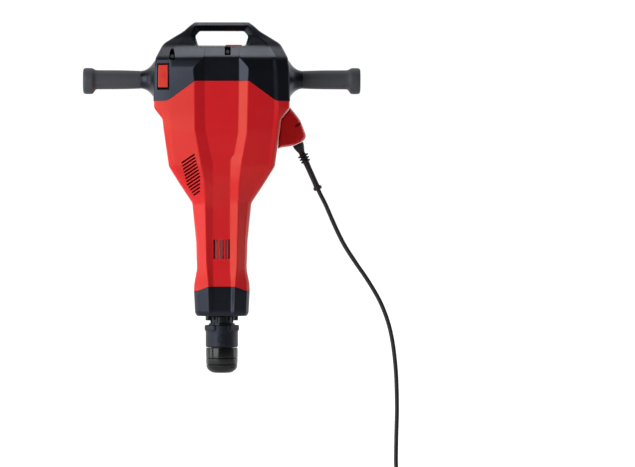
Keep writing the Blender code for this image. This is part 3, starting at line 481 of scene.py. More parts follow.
# height, channel floor x, ridge x on each side of the front
LEFT_CHANNEL = (
    (-0.4875, 0.0187, 0.0258), (-0.4264, 0.0187, 0.0276), (-0.3767, 0.0187, 0.0322),
    (-0.2546, 0.0187, 0.0345), (-0.2110, 0.0187, 0.0359), (-0.1730, 0.0187, 0.0428),
    (-0.1035, 0.0340, 0.0550), (-0.0040, 0.0359, 0.0556), (0.0211, 0.0359, 0.0579),
    (0.0435, 0.0359, 0.0373), (0.1184, 0.0300, 0.0314),
)
RIGHT_CHANNEL = (
    (-0.4875, 0.0180, 0.0262), (-0.4264, 0.0200, 0.0268), (-0.3900, 0.0169, 0.0310),
    (-0.3020, 0.0169, 0.0328), (-0.2170, 0.0172, 0.0345), (-0.1770, 0.0175, 0.0396),
    (-0.1640, 0.0180, 0.0418), (-0.1550, 0.0260, 0.0434), (-0.1100, 0.0336, 0.0516),
    (-0.0040, 0.0353, 0.0540), (0.0224, 0.0353, 0.0558), (0.0435, 0.0353, 0.0367),
    (0.1184, 0.0300, 0.0314),
)
# height and width of the chamfer beside the flat side
CHAMFER_TABLE = ((-0.4875, 0.0030), (-0.2200, 0.0030), (-0.1850, 0.0040), (-0.1400, 0.0090),
                 (0.0000, 0.0100), (0.0435, 0.0080), (0.0700, 0.0040), (0.1184, 0.0020))


def at_height(table, height, bend=0.0035):
    """The values of a table at a height, bending over a short way at each station."""
    below, above = table[0], table[-1]
    for low, high in zip(table, table[1:]):
        if low[0] <= height <= high[0]:
            below, above = low, high
            break
    height = min(max(height, table[0][0]), table[-1][0])
    share = 0.0 if above is below else (height - below[0]) / (above[0] - below[0])
    values = [a + share * (b - a) for a, b in zip(below[1:], above[1:])]
    for low, knot, high in zip(table, table[1:], table[2:]):
        reach = min(bend, 0.45 * (knot[0] - low[0]), 0.45 * (high[0] - knot[0]))
        away = reach - abs(height - knot[0])
        if away <= 0:
            continue
        for i in range(len(values)):
            turn = (high[i + 1] - knot[i + 1]) / (high[0] - knot[0])
            turn -= (knot[i + 1] - low[i + 1]) / (knot[0] - low[0])
            values[i] += turn * away * away / (4 * reach)
    return values


# %% [markdown]
# ## Outlines of the casing
#
# A row of the tables becomes an outline: five corners for each front quarter, rounded by how soft
# each edge is on a moulding. The chamfer on the right stands a little proud, so it faces the
# light and draws a pale line down that side. The floor of the channel changes its slope at
# different heights on the left and the right, which makes the slanted crease.

# %% Outlines of the casing
CREASE_LEAN = 0.0090
PROUD_SHARE = 0.35
CORNER_REACH = {"side": 0.0060, "chamfer": 0.0014, "ridge": 0.0022, "floor": 0.0020}


def quarter(table, channel, height):
    """Corners of a front quarter, from the flat side to the channel floor, as x and depth."""
    floor_y, ridge_y, crease_x, crease_y, side_x, side_y = at_height(table, height)
    on_right = channel is RIGHT_CHANNEL
    if table is BODY_TABLE:
        floor_y = at_height(table, height + (-CREASE_LEAN if on_right else CREASE_LEAN))[0]
    floor_x, ridge_x = at_height(channel, height)
    chamfer = at_height(CHAMFER_TABLE, height)[0]
    crease = Vector((crease_x, crease_y))
    side = Vector((side_x, side_y))
    ridge = Vector((ridge_x, ridge_y))
    outer = crease + (side - crease).normalized() * min(chamfer * 0.5, 0.4 * (side - crease).length)
    inner = crease + (ridge - crease).normalized() * chamfer * 0.5
    if on_right:
        outer.y += PROUD_SHARE * chamfer
    return [side, outer, inner, ridge, Vector((floor_x, floor_y))]


QUARTER_REACHES = [CORNER_REACH[k] for k in ("side", "chamfer", "chamfer", "ridge", "floor")]


def front_outline(table, height):
    """The front half from the left parting edge to the right one."""
    left = quarter(table, LEFT_CHANNEL, height)
    right = quarter(table, RIGHT_CHANNEL, height)
    corners = [(-left[0].x, 0.0)] + [(-p.x, -p.y) for p in left]
    corners += [(p.x, -p.y) for p in reversed(right)] + [(right[0].x, 0.0)]
    reaches = [0.0] + QUARTER_REACHES + QUARTER_REACHES[::-1] + [0.0]
    return rounded([(x, y, height) for x, y in corners], reaches, closed=False)


def rear_outline(table, height):
    """The rear half from the right parting edge to the left one; it has no channel."""
    quarters = [quarter(table, channel, height)[:-1] for channel in (RIGHT_CHANNEL, LEFT_CHANNEL)]
    corners = [(quarters[0][0].x, 0.0)] + [(p.x, p.y) for p in quarters[0]]
    corners += [(-p.x, p.y) for p in reversed(quarters[1])] + [(-quarters[1][0].x, 0.0)]
    reaches = [0.0] + QUARTER_REACHES[:-1] + QUARTER_REACHES[:-1][::-1] + [0.0]
    return rounded([(x, y, height) for x, y in corners], reaches, closed=False)


def row_heights(low, high, step=0.0035):
    """Evenly spaced heights from low to high, at most one step apart."""
    count = math.ceil((high - low) / step)
    return [low + (high - low) * i / count for i in range(count + 1)]


print("front outline points", len(front_outline(BODY_TABLE, -0.1)))

# %% [markdown]
# ## Red front and rear housings
#
# The red casing is two moulded halves that meet at the sides. Its upper edge steps down in two
# slants towards the sides, and its lower edge dips too, so the ends of each column of points are
# moved to those lines, and the rows beside them follow. A Solidify modifier then gives the shell
# its real wall of about 3 mm.

# %% Red shells
WALL = 0.0032
SEAM_GAP = 0.0003
SEAM_HIGH, SEAM_LOW = -0.0040, -0.0450
SEAM_INNER, SEAM_OUTER = 0.0545, 0.1120
HEM_HIGH, HEM_LOW = -0.4273, -0.4360
HEM_INNER, HEM_OUTER = 0.0270, 0.0505
EDGE_BLEND = 0.012


def slanted(x, inner, outer, high, low):
    """An edge that is high in the middle, low at the sides and slants between."""
    share = min(max((abs(x) - inner) / (outer - inner), 0.0), 1.0)
    return high + (low - high) * share


def seam_edge(x):
    """The upper edge of the red housing's front."""
    return slanted(x, SEAM_INNER, SEAM_OUTER, SEAM_HIGH, SEAM_LOW) - SEAM_GAP


def hem_edge(x):
    """The lower edge of the red housing's front."""
    return slanted(x, HEM_INNER, HEM_OUTER, HEM_HIGH, HEM_LOW) + SEAM_GAP


def level(height):
    """A straight edge, as the rear ones are."""
    return lambda x: height


def pulled(height, low, bottom, high, top):
    """A height moved so that a column from low to high runs from bottom to top instead."""
    if height < low + EDGE_BLEND:
        return bottom + (height - low) * (low + EDGE_BLEND - bottom) / EDGE_BLEND
    if height > high - EDGE_BLEND:
        return top - (high - height) * (top - high + EDGE_BLEND) / EDGE_BLEND
    return height


def shell_rows(outline, low_edge, high_edge, low=HEM_LOW, high=SEAM_LOW):
    """Rows of a shell whose first and last rows follow two edges."""
    bottoms = [low_edge(p.x) for p in outline(BODY_TABLE, low)]
    tops = [high_edge(p.x) for p in outline(BODY_TABLE, high)]
    rows = []
    for height in row_heights(low, high):
        row = []
        for column, (bottom, top) in enumerate(zip(bottoms, tops)):
            target = pulled(height, low, bottom, high, top)
            at = outline(BODY_TABLE, target)[column]
            row.append((at.x, at.y, target))
        rows.append(row)
    return rows


def walled(piece, thickness=WALL):
    """Gives a surface a wall on its inner side."""
    modifier = piece.modifiers.new("wall", "SOLIDIFY")
    modifier.thickness = thickness
    modifier.offset = -1.0
    modifier.use_even_offset = False
    return baked(piece)


front_shell = walled(skin("red_front_housing", shell_rows(front_outline, hem_edge, seam_edge),
                          closed=False))
rear_shell = walled(skin("red_rear_housing", shell_rows(
    rear_outline, level(HEM_LOW + SEAM_GAP), level(SEAM_LOW - SEAM_GAP)), closed=False))
print("shell faces", len(front_shell.data.polygons), len(rear_shell.data.polygons))

# %% [markdown]
# ## Vents by Geometry Nodes
#
# The motor breathes through a leaning row of slots on the left facet, and the barrel through six
# upright ones lower down. Both rows are one rule: a slot shape, swept into a bar, stands at each
# point of a line, turned to its angle, and the last bars get shorter. The tree makes the bars,
# and a Boolean takes them out of the shell, which gives the slots real depth.


# %% Opening and closing a Geometry Nodes tree
def open_tree(name, sockets):
    """A tree with named inputs, each a name, a kind and perhaps a value; returns both."""
    tree = bpy.data.node_groups.new(name, "GeometryNodeTree")
    for label, kind, *value in sockets:
        socket = tree.interface.new_socket(name=label, in_out="INPUT",
                                           socket_type="NodeSocket" + kind)
        if value:
            socket.default_value = value[0]
    tree.interface.new_socket(name="Geometry", in_out="OUTPUT", socket_type="NodeSocketGeometry")
    return tree, add_node(tree, "NodeGroupInput").outputs


def close_tree(tree, geometry, material):
    """Makes instances real, sets their material and hands them out."""
    real = add_node(tree, "GeometryNodeRealizeInstances", (), {"Geometry": geometry})
    finish = add_node(tree, "GeometryNodeSetMaterial", (),
                      {"Geometry": real.outputs["Geometry"], "Material": material})
    add_node(tree, "NodeGroupOutput", (), {"Geometry": finish.outputs["Geometry"]})
    return tree


def from_tree(name, tree, inputs, place=(0, 0, 0)):
    """Runs a Geometry Nodes tree with the given inputs and returns its plain mesh object."""
    carrier = show(name, bpy.data.meshes.new(name))
    carrier.location = place
    modifier = carrier.modifiers.new(name, "NODES")
    modifier.node_group = tree
    for item in tree.interface.items_tree:
        if item.item_type == "SOCKET" and item.in_out == "INPUT" and item.name in inputs:
            modifier[item.identifier] = inputs[item.name]
    return baked(carrier)


# %% Slot row tree
def slot_row_tree():
    """Bars with round ends on a line of points, each turned, the last ones shorter."""
    tree, given = open_tree("slot_row", (
        ("Count", "Int", 6), ("Step", "Vector", (0.01, 0, 0)), ("Length", "Float", 0.03),
        ("Width", "Float", 0.0025), ("Depth", "Float", 0.05), ("Turn", "Vector", (0, 0, 0)),
        ("Shorten After", "Int", 99), ("Last Share", "Float", 1.0), ("Finish", "Material")))
    line = add_node(tree, "GeometryNodeMeshLine", (),
                    {"Count": given["Count"], "Offset": given["Step"]})
    outline = add_node(tree, "GeometryNodeCurvePrimitiveQuadrilateral", (),
                       {"Width": given["Length"], "Height": given["Width"]})
    half = add_node(tree, "ShaderNodeMath", {1: 0.49}, {0: given["Width"]}, operation="MULTIPLY")
    soft = add_node(tree, "GeometryNodeFilletCurve", {"Count": 4},
                    {"Curve": outline.outputs["Curve"], "Radius": half.outputs["Value"]},
                    mode="POLY")
    sheet = add_node(tree, "GeometryNodeFillCurve", (), {"Curve": soft.outputs["Curve"]},
                     mode="NGONS")
    front = add_node(tree, "GeometryNodeExtrudeMesh", {"Individual": False},
                     {"Mesh": sheet.outputs["Mesh"], "Offset Scale": given["Depth"]})
    back = add_node(tree, "GeometryNodeFlipFaces", (), {"Mesh": sheet.outputs["Mesh"]})
    both = add_node(tree, "GeometryNodeJoinGeometry", (), {"Geometry": front.outputs["Mesh"]})
    tree.links.new(back.outputs["Mesh"], both.inputs["Geometry"])
    bar = add_node(tree, "GeometryNodeMergeByDistance", {"Distance": 0.00001},
                   {"Geometry": both.outputs["Geometry"]})
    index = add_node(tree, "GeometryNodeInputIndex")
    share = add_node(tree, "ShaderNodeMapRange", {"To Min": 1.0},
                     {"Value": index.outputs["Index"], "From Min": given["Shorten After"],
                      "From Max": given["Count"], "To Max": given["Last Share"]})
    scale = add_node(tree, "ShaderNodeCombineXYZ", {"Y": 1.0, "Z": 1.0},
                     {"X": share.outputs["Result"]})
    stand = add_node(tree, "GeometryNodeInstanceOnPoints", (),
                     {"Points": line.outputs["Mesh"], "Instance": bar.outputs["Geometry"],
                      "Rotation": given["Turn"], "Scale": scale.outputs["Vector"]})
    return close_tree(tree, stand.outputs["Instances"], given["Finish"])


SLOT_ROW = slot_row_tree()
QUARTER_TURN = math.radians(90)
side_vent = from_tree("side_vent", SLOT_ROW, {
    "Count": 12, "Step": (0.00160, 0.0, -0.0064), "Length": 0.0330, "Width": 0.0033,
    "Depth": 0.060, "Turn": (QUARTER_TURN, math.radians(-34), 0.0), "Shorten After": 7,
    "Last Share": 0.35, "Finish": RED_NYLON}, (-0.0692, -0.045, -0.1640))
front_vent = from_tree("front_vent", SLOT_ROW, {
    "Count": 6, "Step": (0.00608, 0.0, 0.0), "Length": 0.0400, "Width": 0.0031, "Depth": 0.040,
    "Turn": (QUARTER_TURN, QUARTER_TURN, 0.0), "Finish": RED_NYLON}, (-0.0156, -0.035, -0.3500))
for vent in (side_vent, front_vent):
    low = [min(v.co[i] for v in vent.data.vertices) for i in range(3)]
    high = [max(v.co[i] for v in vent.data.vertices) for i in range(3)]
    print(vent.name, [round(v, 4) for v in low + high])

# %% Cut the vents and finish the red shells
front_shell = combined(front_shell, [side_vent, front_vent])
front_shell = crisp(baked(front_shell, RED_NYLON))
rear_shell = crisp(baked(rear_shell, RED_NYLON))
stand_for(front_shell, "casing", "housing_red", "front_housing")
stand_for(rear_shell, "casing", "housing_red", "rear_housing")

# %% [markdown]
# ## Nose cover
#
# The black cover at the foot closes the casing round the tool holder. It continues the facets of
# the red shell, its upper edge follows the same scalloped line, and it turns in below to a round
# opening.

# %% Nose cover
NOSE_HOLE = 0.0435


def nose_piece():
    """The cover's walls, a lip turned in below them and the round opening in the lip."""
    low, high = NOSE_TABLE[0][0], HEM_LOW
    first_heights = [low, low + 0.0012, low + 0.003, low + 0.0055]
    rows = []
    for height in first_heights + row_heights(low + 0.009, high):
        whole = []
        for outline, edge in ((front_outline, hem_edge), (rear_outline, level(HEM_LOW + SEAM_GAP))):
            for column, end in enumerate(outline(NOSE_TABLE, high)[:-1]):
                target = pulled(height, low, low, high, edge(end.x) - 2 * SEAM_GAP)
                at = outline(NOSE_TABLE, target)[column]
                whole.append(Vector((at.x, at.y, target)))
        rows.append(whole)
    for share, drop in ((0.985, 0.0004), (0.9, 0.0005), (0.8, 0.0005)):
        rows.insert(0, [Vector((p.x * share, p.y * share, low - drop)) for p in rows[0]])
    cover = walled(skin("nose_shell", rows), 0.0028)
    return crisp(baked(combined(cover, [peg(NOSE_HOLE, -0.500, -0.478, 64)]), BLACK_NYLON))


stand_for(nose_piece(), "casing", "black_housing", "nose_cover")

# %% [markdown]
# ## Handle housing
#
# The black upper housing is moulded round the T-handle: it flares out to each grip, steps back
# over a sloping shoulder and closes in a carry handle. It is made solid first, the hollow and the
# hand opening are taken out, and then it is parted into its two halves.


# %% Handle housing solid
CARRY_HALF, CARRY_LOW, CARRY_HIGH = 0.0548, 0.0700, 0.1004
CURVE_TOP = 0.1160
HOLLOW_SHARE = 0.958
# radius and distance from the middle of the flares that meet the grips
GRIP_FLARE = ((0, 0.1680), (0.0183, 0.1680), (0.0188, 0.1640), (0.0202, 0.1585),
              (0.0228, 0.1535), (0.0268, 0.1485), (0.0320, 0.1440), (0.0372, 0.1405),
              (0.0405, 0.1375), (0.0405, 0.1150), (0, 0.1150))
# how far outside the face, and how much wider the hand opening is there: sideways, low, high
MOUTH_STAGES = ((0.20, 0.0130, 0.0034, 0.0118), (0.0, 0.0130, 0.0034, 0.0118),
                (-0.0055, 0.0102, 0.0022, 0.0092), (-0.0120, 0.0050, 0.0009, 0.0042),
                (-0.0175, 0.0, 0.0, 0.0))


def whole_outline(height):
    """The closed outline of the handle housing."""
    return front_outline(HANDLE_TABLE, height)[:-1] + rear_outline(HANDLE_TABLE, height)[:-1]


def handle_solid():
    """The housing before anything is taken out: the facetted body and its two flares."""
    heights = row_heights(HANDLE_TABLE[0][0], CURVE_TOP, 0.004) + [0.1172, 0.1180, 0.1184]
    body = skin("handle_solid", [whole_outline(h) for h in heights], capped=True)
    flares = [turned("helper", [(r, side * x) for r, x in GRIP_FLARE], along="X")
              for side in (1, -1)]
    return combined(body, flares, "UNION")


def inner_solid():
    """The hollow: the same outline drawn in by the wall, up to below the carry handle."""
    foot = HANDLE_TABLE[0][0]
    rows = []
    for height in row_heights(foot - 0.004, 0.0640, 0.008):
        outline = whole_outline(max(height, foot))
        rows.append([(*(p.xy * HOLLOW_SHARE), height) for p in outline])
    return solid("helper", rows)


def carry_outline(sideways, down, up):
    """The hand opening: narrower at its sill, with small corners below and slanted ones above."""
    corners = [(CARRY_HALF - 0.0062 + sideways * 0.55, CARRY_LOW - down),
               (CARRY_HALF + sideways, CARRY_HIGH - 0.0105 + up * 0.35),
               (CARRY_HALF - 0.0085 + sideways * 0.75, CARRY_HIGH + up)]
    corners = [(-x, z) for x, z in corners[:1]] + corners + [(-x, z) for x, z in corners[:0:-1]]
    return rounded_flat(corners, [0.0028 + down] * 2 + [0.004] * 4)


def carry_cutter():
    """The opening through the handle, flared at both mouths to lie soft in the hand."""
    rows = []
    for side, stages in ((-1, MOUTH_STAGES), (1, MOUTH_STAGES[::-1])):
        for outside, *wider in stages:
            rows.append([(x, side * (at_height(HANDLE_TABLE, min(z, CURVE_TOP))[1] + outside), z)
                         for x, z in carry_outline(*wider)])
    return solid("helper", rows)


def seam_notch():
    """The place that the raised middle of the red front fills."""
    inner, outer, foot = SEAM_INNER + 0.0002, SEAM_OUTER + 0.0002, -0.06
    seam = [(-outer, SEAM_LOW), (-inner, SEAM_HIGH), (inner, SEAM_HIGH), (outer, SEAM_LOW),
            (outer, foot), (-outer, foot)]
    return prism([(x, z + SEAM_GAP) for x, z in seam], -0.13, -0.05)


handle = combined(handle_solid(), [inner_solid(), carry_cutter(), seam_notch()])
print("handle faces", len(handle.data.polygons))

# %% [markdown]
# A long driver has to reach the left screw past the shoulder's slope, so its pocket is a narrow
# teardrop that runs up the slope. The middle screw needs only a short rounded one, and the right
# screw gets none. The switch sits in a rectangular seat.

# %% Pockets and seats in the handle housing
SCREWS = {side: middle_of("handle_screw_" + side) for side in ("left", "centre", "right")}
SCREW_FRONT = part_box("handle_screw_left")[0][1]
SWITCH_LOW, SWITCH_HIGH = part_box("switch_frame")


def teardrop(x, z_low, z_high, width):
    """A pocket with a round foot, drawn to a point at the top."""
    half = width / 2
    corners = [(x - half, z_low), (x + half, z_low), (x + half, z_high - width * 1.3),
               (x + half * 0.35, z_high), (x - half * 0.1, z_high), (x - half, z_high - width)]
    outline = rounded_flat(corners, [half * 0.7, half * 0.7, width, 0.001, 0.001, width])
    return prism(outline, -0.12, SCREW_FRONT)


left, centre = SCREWS["left"], SCREWS["centre"]
short_pocket = rectangle(centre.x - 0.0062, centre.z - 0.0080, centre.x + 0.0062, centre.z + 0.0130)
seat = rectangle(SWITCH_LOW[0] - SEAM_GAP, SWITCH_LOW[2] - SEAM_GAP,
                 SWITCH_HIGH[0] + SEAM_GAP, SWITCH_HIGH[2] + SEAM_GAP)
handle = combined(handle, [
    teardrop(left.x, left.z - 0.0085, left.z + 0.0190, 0.0115),
    prism(rounded_flat(short_pocket, [0.0014] * 4), -0.12, SCREW_FRONT),
    prism(rounded_flat(seat, [0.0006] * 4), -0.1, -0.0600)])

# %% Part the housing into halves
JOINT_GAP = 0.0002
FAR = 0.3


def half_of(whole, name, low, high):
    """A copy of the housing without what lies between two places on Y."""
    half = combined(show(name, whole.data.copy()),
                    [prism(rectangle(-FAR, -FAR, FAR, FAR), low, high)])
    return crisp(baked(half, BLACK_NYLON))


front_handle = half_of(handle, "black_handle_front", -JOINT_GAP, 0.2)
rear_handle = half_of(handle, "black_handle_rear", -0.2, JOINT_GAP)
bpy.data.objects.remove(handle, do_unlink=True)
stand_for(front_handle, "casing", "black_housing", "handle_housing_front")
stand_for(rear_handle, "casing", "black_housing", "handle_housing_rear")

# %% [markdown]
# ## Screws and bolts
#
# Three screws hold the handle halves and four socket bolts hold the tool holder. A bolt head is
# a turned disc with a six-sided recess. One tree stands such a head on every point of a pattern,
# and runs once for the casing's screws and once for the drive unit's bolts.


# %% Fastener heads
def socket_head(radius, height, recess, shank_radius, shank):
    """A head at the origin that faces +Z, with its shank below and a six-sided driver recess."""
    edge = radius * 0.14
    profile = [(0, height), (radius - edge, height), (radius, height - edge), (radius, 0.0),
               (shank_radius, 0.0), (shank_radius, -shank), (0, -shank)]
    key = [(0, height + 0.001), (recess, height + 0.001), (recess, height * 0.45),
           (0, height * 0.35)]
    return combined(turned("helper_head", profile, steps=32), [turned("helper", key, steps=6)])


def fastener_tree():
    """One head on every point of another object."""
    tree, given = open_tree("fasteners", (("Places", "Object"), ("Head", "Object"),
                                          ("Turn", "Vector"), ("Finish", "Material")))
    places = add_node(tree, "GeometryNodeObjectInfo", (), {"Object": given["Places"]})
    head = add_node(tree, "GeometryNodeObjectInfo", (), {"Object": given["Head"]})
    stand = add_node(tree, "GeometryNodeInstanceOnPoints", (),
                     {"Points": places.outputs["Geometry"], "Instance": head.outputs["Geometry"],
                      "Rotation": given["Turn"]})
    return close_tree(tree, stand.outputs["Instances"], given["Finish"])


FASTENERS = fastener_tree()


def fasteners(name, places, head, turn, finish):
    """A mesh of equal heads at the given places."""
    mesh = bpy.data.meshes.new("places")
    mesh.from_pydata([tuple(p) for p in places], [], [])
    pattern = show("places", mesh)
    piece = from_tree(name, FASTENERS, {"Places": pattern, "Head": head, "Turn": turn,
                                        "Finish": finish})
    for helper in (pattern, head):
        bpy.data.objects.remove(helper, do_unlink=True)
    return crisp(piece, 30)


# %% Screws of the casing and bolts of the holder
SCREW_HEAD = 0.0032
head = socket_head(0.0044, SCREW_HEAD, 0.0021, 0.0023, 0.070)
screw_places = [(SCREWS[s].x, SCREW_FRONT + SCREW_HEAD, SCREWS[s].z) for s in SCREWS]
screws = fasteners("handle_screws", screw_places, head, (QUARTER_TURN, 0, 0), ZINCED_STEEL)
stand_for(screws, "casing", "steel", "handle_screw_left", "handle_screw_centre",
          "handle_screw_right")

BOLTS = [middle_of(f"holder_bolt_{i}") for i in (1, 2, 3, 4)]
FLANGE_FACE = -0.4883
bolt_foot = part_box("holder_bolt_1")[0][2]
head = socket_head(0.0060, FLANGE_FACE - bolt_foot, 0.0034, 0.0040, 0.020)
bolts = fasteners("holder_bolts", [(b.x, b.y, FLANGE_FACE) for b in BOLTS], head,
                  (math.radians(180), 0, 0), BLACKED_STEEL)
stand_for(bolts, "drive_unit", "steel", *[f"holder_bolt_{i}" for i in (1, 2, 3, 4)])

# %% [markdown]
# ## Grips
#
# Rubber is moulded over the tube ends: a sleeve that swells slightly under the palm and ends in
# a guard, which hangs lower than it stands up. The turned profile is pulled down below the axis
# past the point where the guard starts.

# %% Grips
GUARD_START, GUARD_BLEND, GUARD_DROP = 0.2590, 0.007, 0.22
TUBE_RADIUS, TUBE_CLEAR = 0.0115, 0.0125
# radius and distance from the middle of the tool
GRIP_PROFILE = ((0.0176, 0.1666), (0.0184, 0.1674), (0.0187, 0.1760), (0.0193, 0.1950),
                (0.0197, 0.2150), (0.0198, 0.2400), (0.0199, 0.2570), (0.0204, 0.2610),
                (0.0222, 0.2645), (0.0238, 0.2668), (0.0244, 0.2700), (0.0244, 0.2800),
                (0.0238, 0.2838), (0.0222, 0.2859), (0.0190, 0.2867))
GRIP_INNER = ((0.0, 0.2868), (0.0, 0.2792), (TUBE_RADIUS, 0.2790), (TUBE_RADIUS, 0.1666))


def grip(side, sign):
    """A rubber sleeve over the tube's end, mirrored for the left side."""
    piece = turned("grip_" + side, soft_profile(GRIP_PROFILE, 0.0020) + list(GRIP_INNER),
                   steps=72, along="X", closed=True)
    for vertex in piece.data.vertices:
        if vertex.co.z < 0 and vertex.co.yz.length > TUBE_CLEAR:
            drop = GUARD_DROP * eased((vertex.co.x - GUARD_START) / GUARD_BLEND)
            vertex.co.z *= 1.0 + drop
    if sign < 0:
        piece.data.transform(Matrix.Diagonal((-1, 1, 1, 1)))
        piece.data.flip_normals()
    piece.data.materials.append(GRIP_RUBBER)
    return crisp(piece, 50)


for side, sign in (("right", 1), ("left", -1)):
    stand_for(grip(side, sign), "casing", "grip_rubber", "grip_" + side)

# %% [markdown]
# ## Switch and indicator
#
# A frame snaps into the housing, and the red rocker turns inside it on a pin. The rocker's face
# leans: its lower end stands out and its upper end lies deeper, with a plain raised ring in the
# middle where a thumb finds it. The indicator is a red lens in the sill of the carry handle.

# %% Switch frame, rocker and indicator lens
FRAME_WALL, FRAME_EDGE, FRAME_CORNER = 0.0021, 0.0006, 0.0022
MARK_PROFILE = ((0.0022, -0.001), (0.0030, -0.001), (0.0030, 0.0005), (0.0022, 0.0005))


def rounded_bar(name, outline, low, high, material, edge=0.0008):
    """A side outline in the YZ plane, thick in X, with its edges bevelled."""
    piece = solid(name, [[(x, y, z) for y, z in outline] for x in (low, high)])
    modifier = piece.modifiers.new("edges", "BEVEL")
    modifier.width = edge
    modifier.segments = 3
    modifier.limit_method = "ANGLE"
    modifier.angle_limit = math.radians(40)
    return crisp(baked(piece, material))


def frame_loop(inset, y):
    """The switch frame's outline, drawn in by an inset."""
    corners = rectangle(SWITCH_LOW[0] + inset, SWITCH_LOW[2] + inset,
                        SWITCH_HIGH[0] - inset, SWITCH_HIGH[2] - inset)
    return [(x, y, z) for x, z in
            rounded_flat(corners, [FRAME_CORNER - min(inset, 2 * FRAME_EDGE)] * 4)]


face_y, back_y = SWITCH_LOW[1], SWITCH_HIGH[1]
loops = [frame_loop(0.0, back_y), frame_loop(0.0, face_y + FRAME_EDGE),
         frame_loop(FRAME_EDGE, face_y), frame_loop(FRAME_WALL - FRAME_EDGE / 2, face_y),
         frame_loop(FRAME_WALL, face_y + FRAME_EDGE / 2), frame_loop(FRAME_WALL, back_y)]
surround = baked(skin("switch_surround", loops + loops[:1]), RECESS_NYLON)
tidy_normals(surround.data)
stand_for(crisp(surround), "casing", "black_housing", "switch_frame")

ROCKER_LOW, ROCKER_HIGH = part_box("switch_rocker")
face_y, back_y = ROCKER_LOW[1], ROCKER_HIGH[1]
mid = (ROCKER_LOW[2] + ROCKER_HIGH[2]) / 2
outline = [(face_y, ROCKER_LOW[2]), (face_y + 0.0016, mid - 0.012), (face_y + 0.0038, mid),
           (face_y + 0.0060, mid + 0.012), (face_y + 0.0073, ROCKER_HIGH[2]),
           (face_y + 0.0120, ROCKER_HIGH[2]), (back_y, mid + 0.003), (back_y, mid - 0.003),
           (face_y + 0.0095, ROCKER_LOW[2])]
rocker = rounded_bar("red_rocker", outline, ROCKER_LOW[0], ROCKER_HIGH[0], SIGNAL_RED)
mark = turned("helper", MARK_PROFILE, steps=32, along="Y", closed=True,
              centre=(middle_of("switch_rocker").x, face_y + 0.0032, mid))
rocker = crisp(baked(combined(rocker, [mark], "UNION"), SIGNAL_RED))
stand_for(rocker, "switch_rocker", "signal_red", "switch_rocker")

low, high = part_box("indicator_panel")
lens_foot = min(low[2], CARRY_LOW - 0.0030)
lens_top = min(high[2], CARRY_LOW + 0.0014)
outline = [(low[1], lens_foot), (low[1], lens_top - 0.001), (low[1] + 0.001, lens_top),
           (high[1], lens_top), (high[1], lens_foot)]
lens = rounded_bar("indicator_lens", outline, low[0], high[0], SIGNAL_RED, 0.0005)
stand_for(lens, "casing", "signal_red", "indicator_panel")

# %% [markdown]
# ## Tool holder, locking sleeve and dust cap
#
# Below the nose the forged holder shows its four bolted lugs and a ribbed neck. The sleeve
# slides up to free the tool, and it has a collar with two side lobes and a flat between them.
# The cap is a glossy rubber moulding with two grooves, drawn in at its mouth to keep dust out.

# %% Holder
HOLDER_PROFILE = (
    (0.0305, -0.4080), (0.0305, -0.4700), (0.0340, -0.4700), (0.0340, -0.4880), (0.0262, -0.4880),
    (0.0243, -0.4900), (0.0238, -0.5030), (0.0273, -0.5040), (0.0273, -0.5125), (0.0225, -0.5130),
    (0.0225, -0.5900), (0.0135, -0.5900), (0.0128, -0.5890), (0.0140, -0.4700), (0.0140, -0.4460),
    (0.0204, -0.4460), (0.0204, -0.4080))
LUG_PROFILE = ((0, -0.4702), (0.0098, -0.4702), (0.0098, -0.4868), (0.0088, -0.4879), (0, -0.4879))
RIB_STATIONS = ((-0.4875, 0.0285), (-0.4950, 0.0258), (-0.5036, 0.0248))
RIB_COUNT, RIB_ROOT, RIB_HALF = 8, 0.020, 0.0011
HEX_HALF = 0.0140


def rib_on_neck(number):
    """One upright rib that runs down the neck and gets flatter."""
    angle = math.tau * (number + 0.5) / RIB_COUNT
    along = Vector((math.cos(angle), math.sin(angle)))
    across = Vector((-along.y, along.x))
    rows = []
    for z, reach in RIB_STATIONS:
        corners = [along * RIB_ROOT - across * RIB_HALF, along * reach - across * RIB_HALF,
                   along * reach + across * RIB_HALF, along * RIB_ROOT + across * RIB_HALF]
        rows.append([(p.x, p.y, z) for p in corners])
    return solid("helper", rows)


def holder_piece():
    """The forging: a turned body with lugs and ribs, and a hexagonal bore for the tool."""
    holder = turned("forged_tool_holder", HOLDER_PROFILE, steps=72, closed=True)
    tidy_normals(holder.data)
    lugs = [turned("helper", LUG_PROFILE, steps=32, centre=(b.x * 0.905, b.y * 0.905, 0))
            for b in BOLTS]
    holder = combined(holder, lugs + [rib_on_neck(i) for i in range(RIB_COUNT)], "UNION")
    cuts = [peg(HEX_HALF / math.cos(math.pi / 6), -0.600, -0.4690, 6)]
    cuts += [peg(0.0043, -0.4950, -0.4650, 24, centre=(b.x, b.y, 0)) for b in BOLTS]
    cuts.append(peg(0.0053, -0.04, 0.04, 24, along="X",
                    centre=(0, 0, middle_of("lock_pin_right").z)))
    return crisp(baked(combined(holder, cuts), BLACKED_STEEL))


stand_for(holder_piece(), "drive_unit", "steel", "tool_holder")

# %% Locking sleeve
SLEEVE_LOW, SLEEVE_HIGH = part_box("locking_sleeve")
SLEEVE_RADIUS = 0.0335
# x, y and corner radius of a side lobe on the right, then height below the top and size
LOBE_OUTLINE = ((0.0120, -0.0330, 0.001), (0.0180, -0.0330, 0.003), (0.0358, -0.0120, 0.006),
                (0.0358, 0.0120, 0.006), (0.0180, 0.0330, 0.003), (0.0120, 0.0330, 0.001))
LOBE_STAGES = ((0.0125, 0.93), (0.0108, 0.985), (0.0094, 1.0), (0.0022, 1.0), (0.0006, 0.975))
RING_PROFILE = ((0.0072, -0.0351), (0.0082, -0.0351), (0.0082, -0.0306), (0.0072, -0.0306))


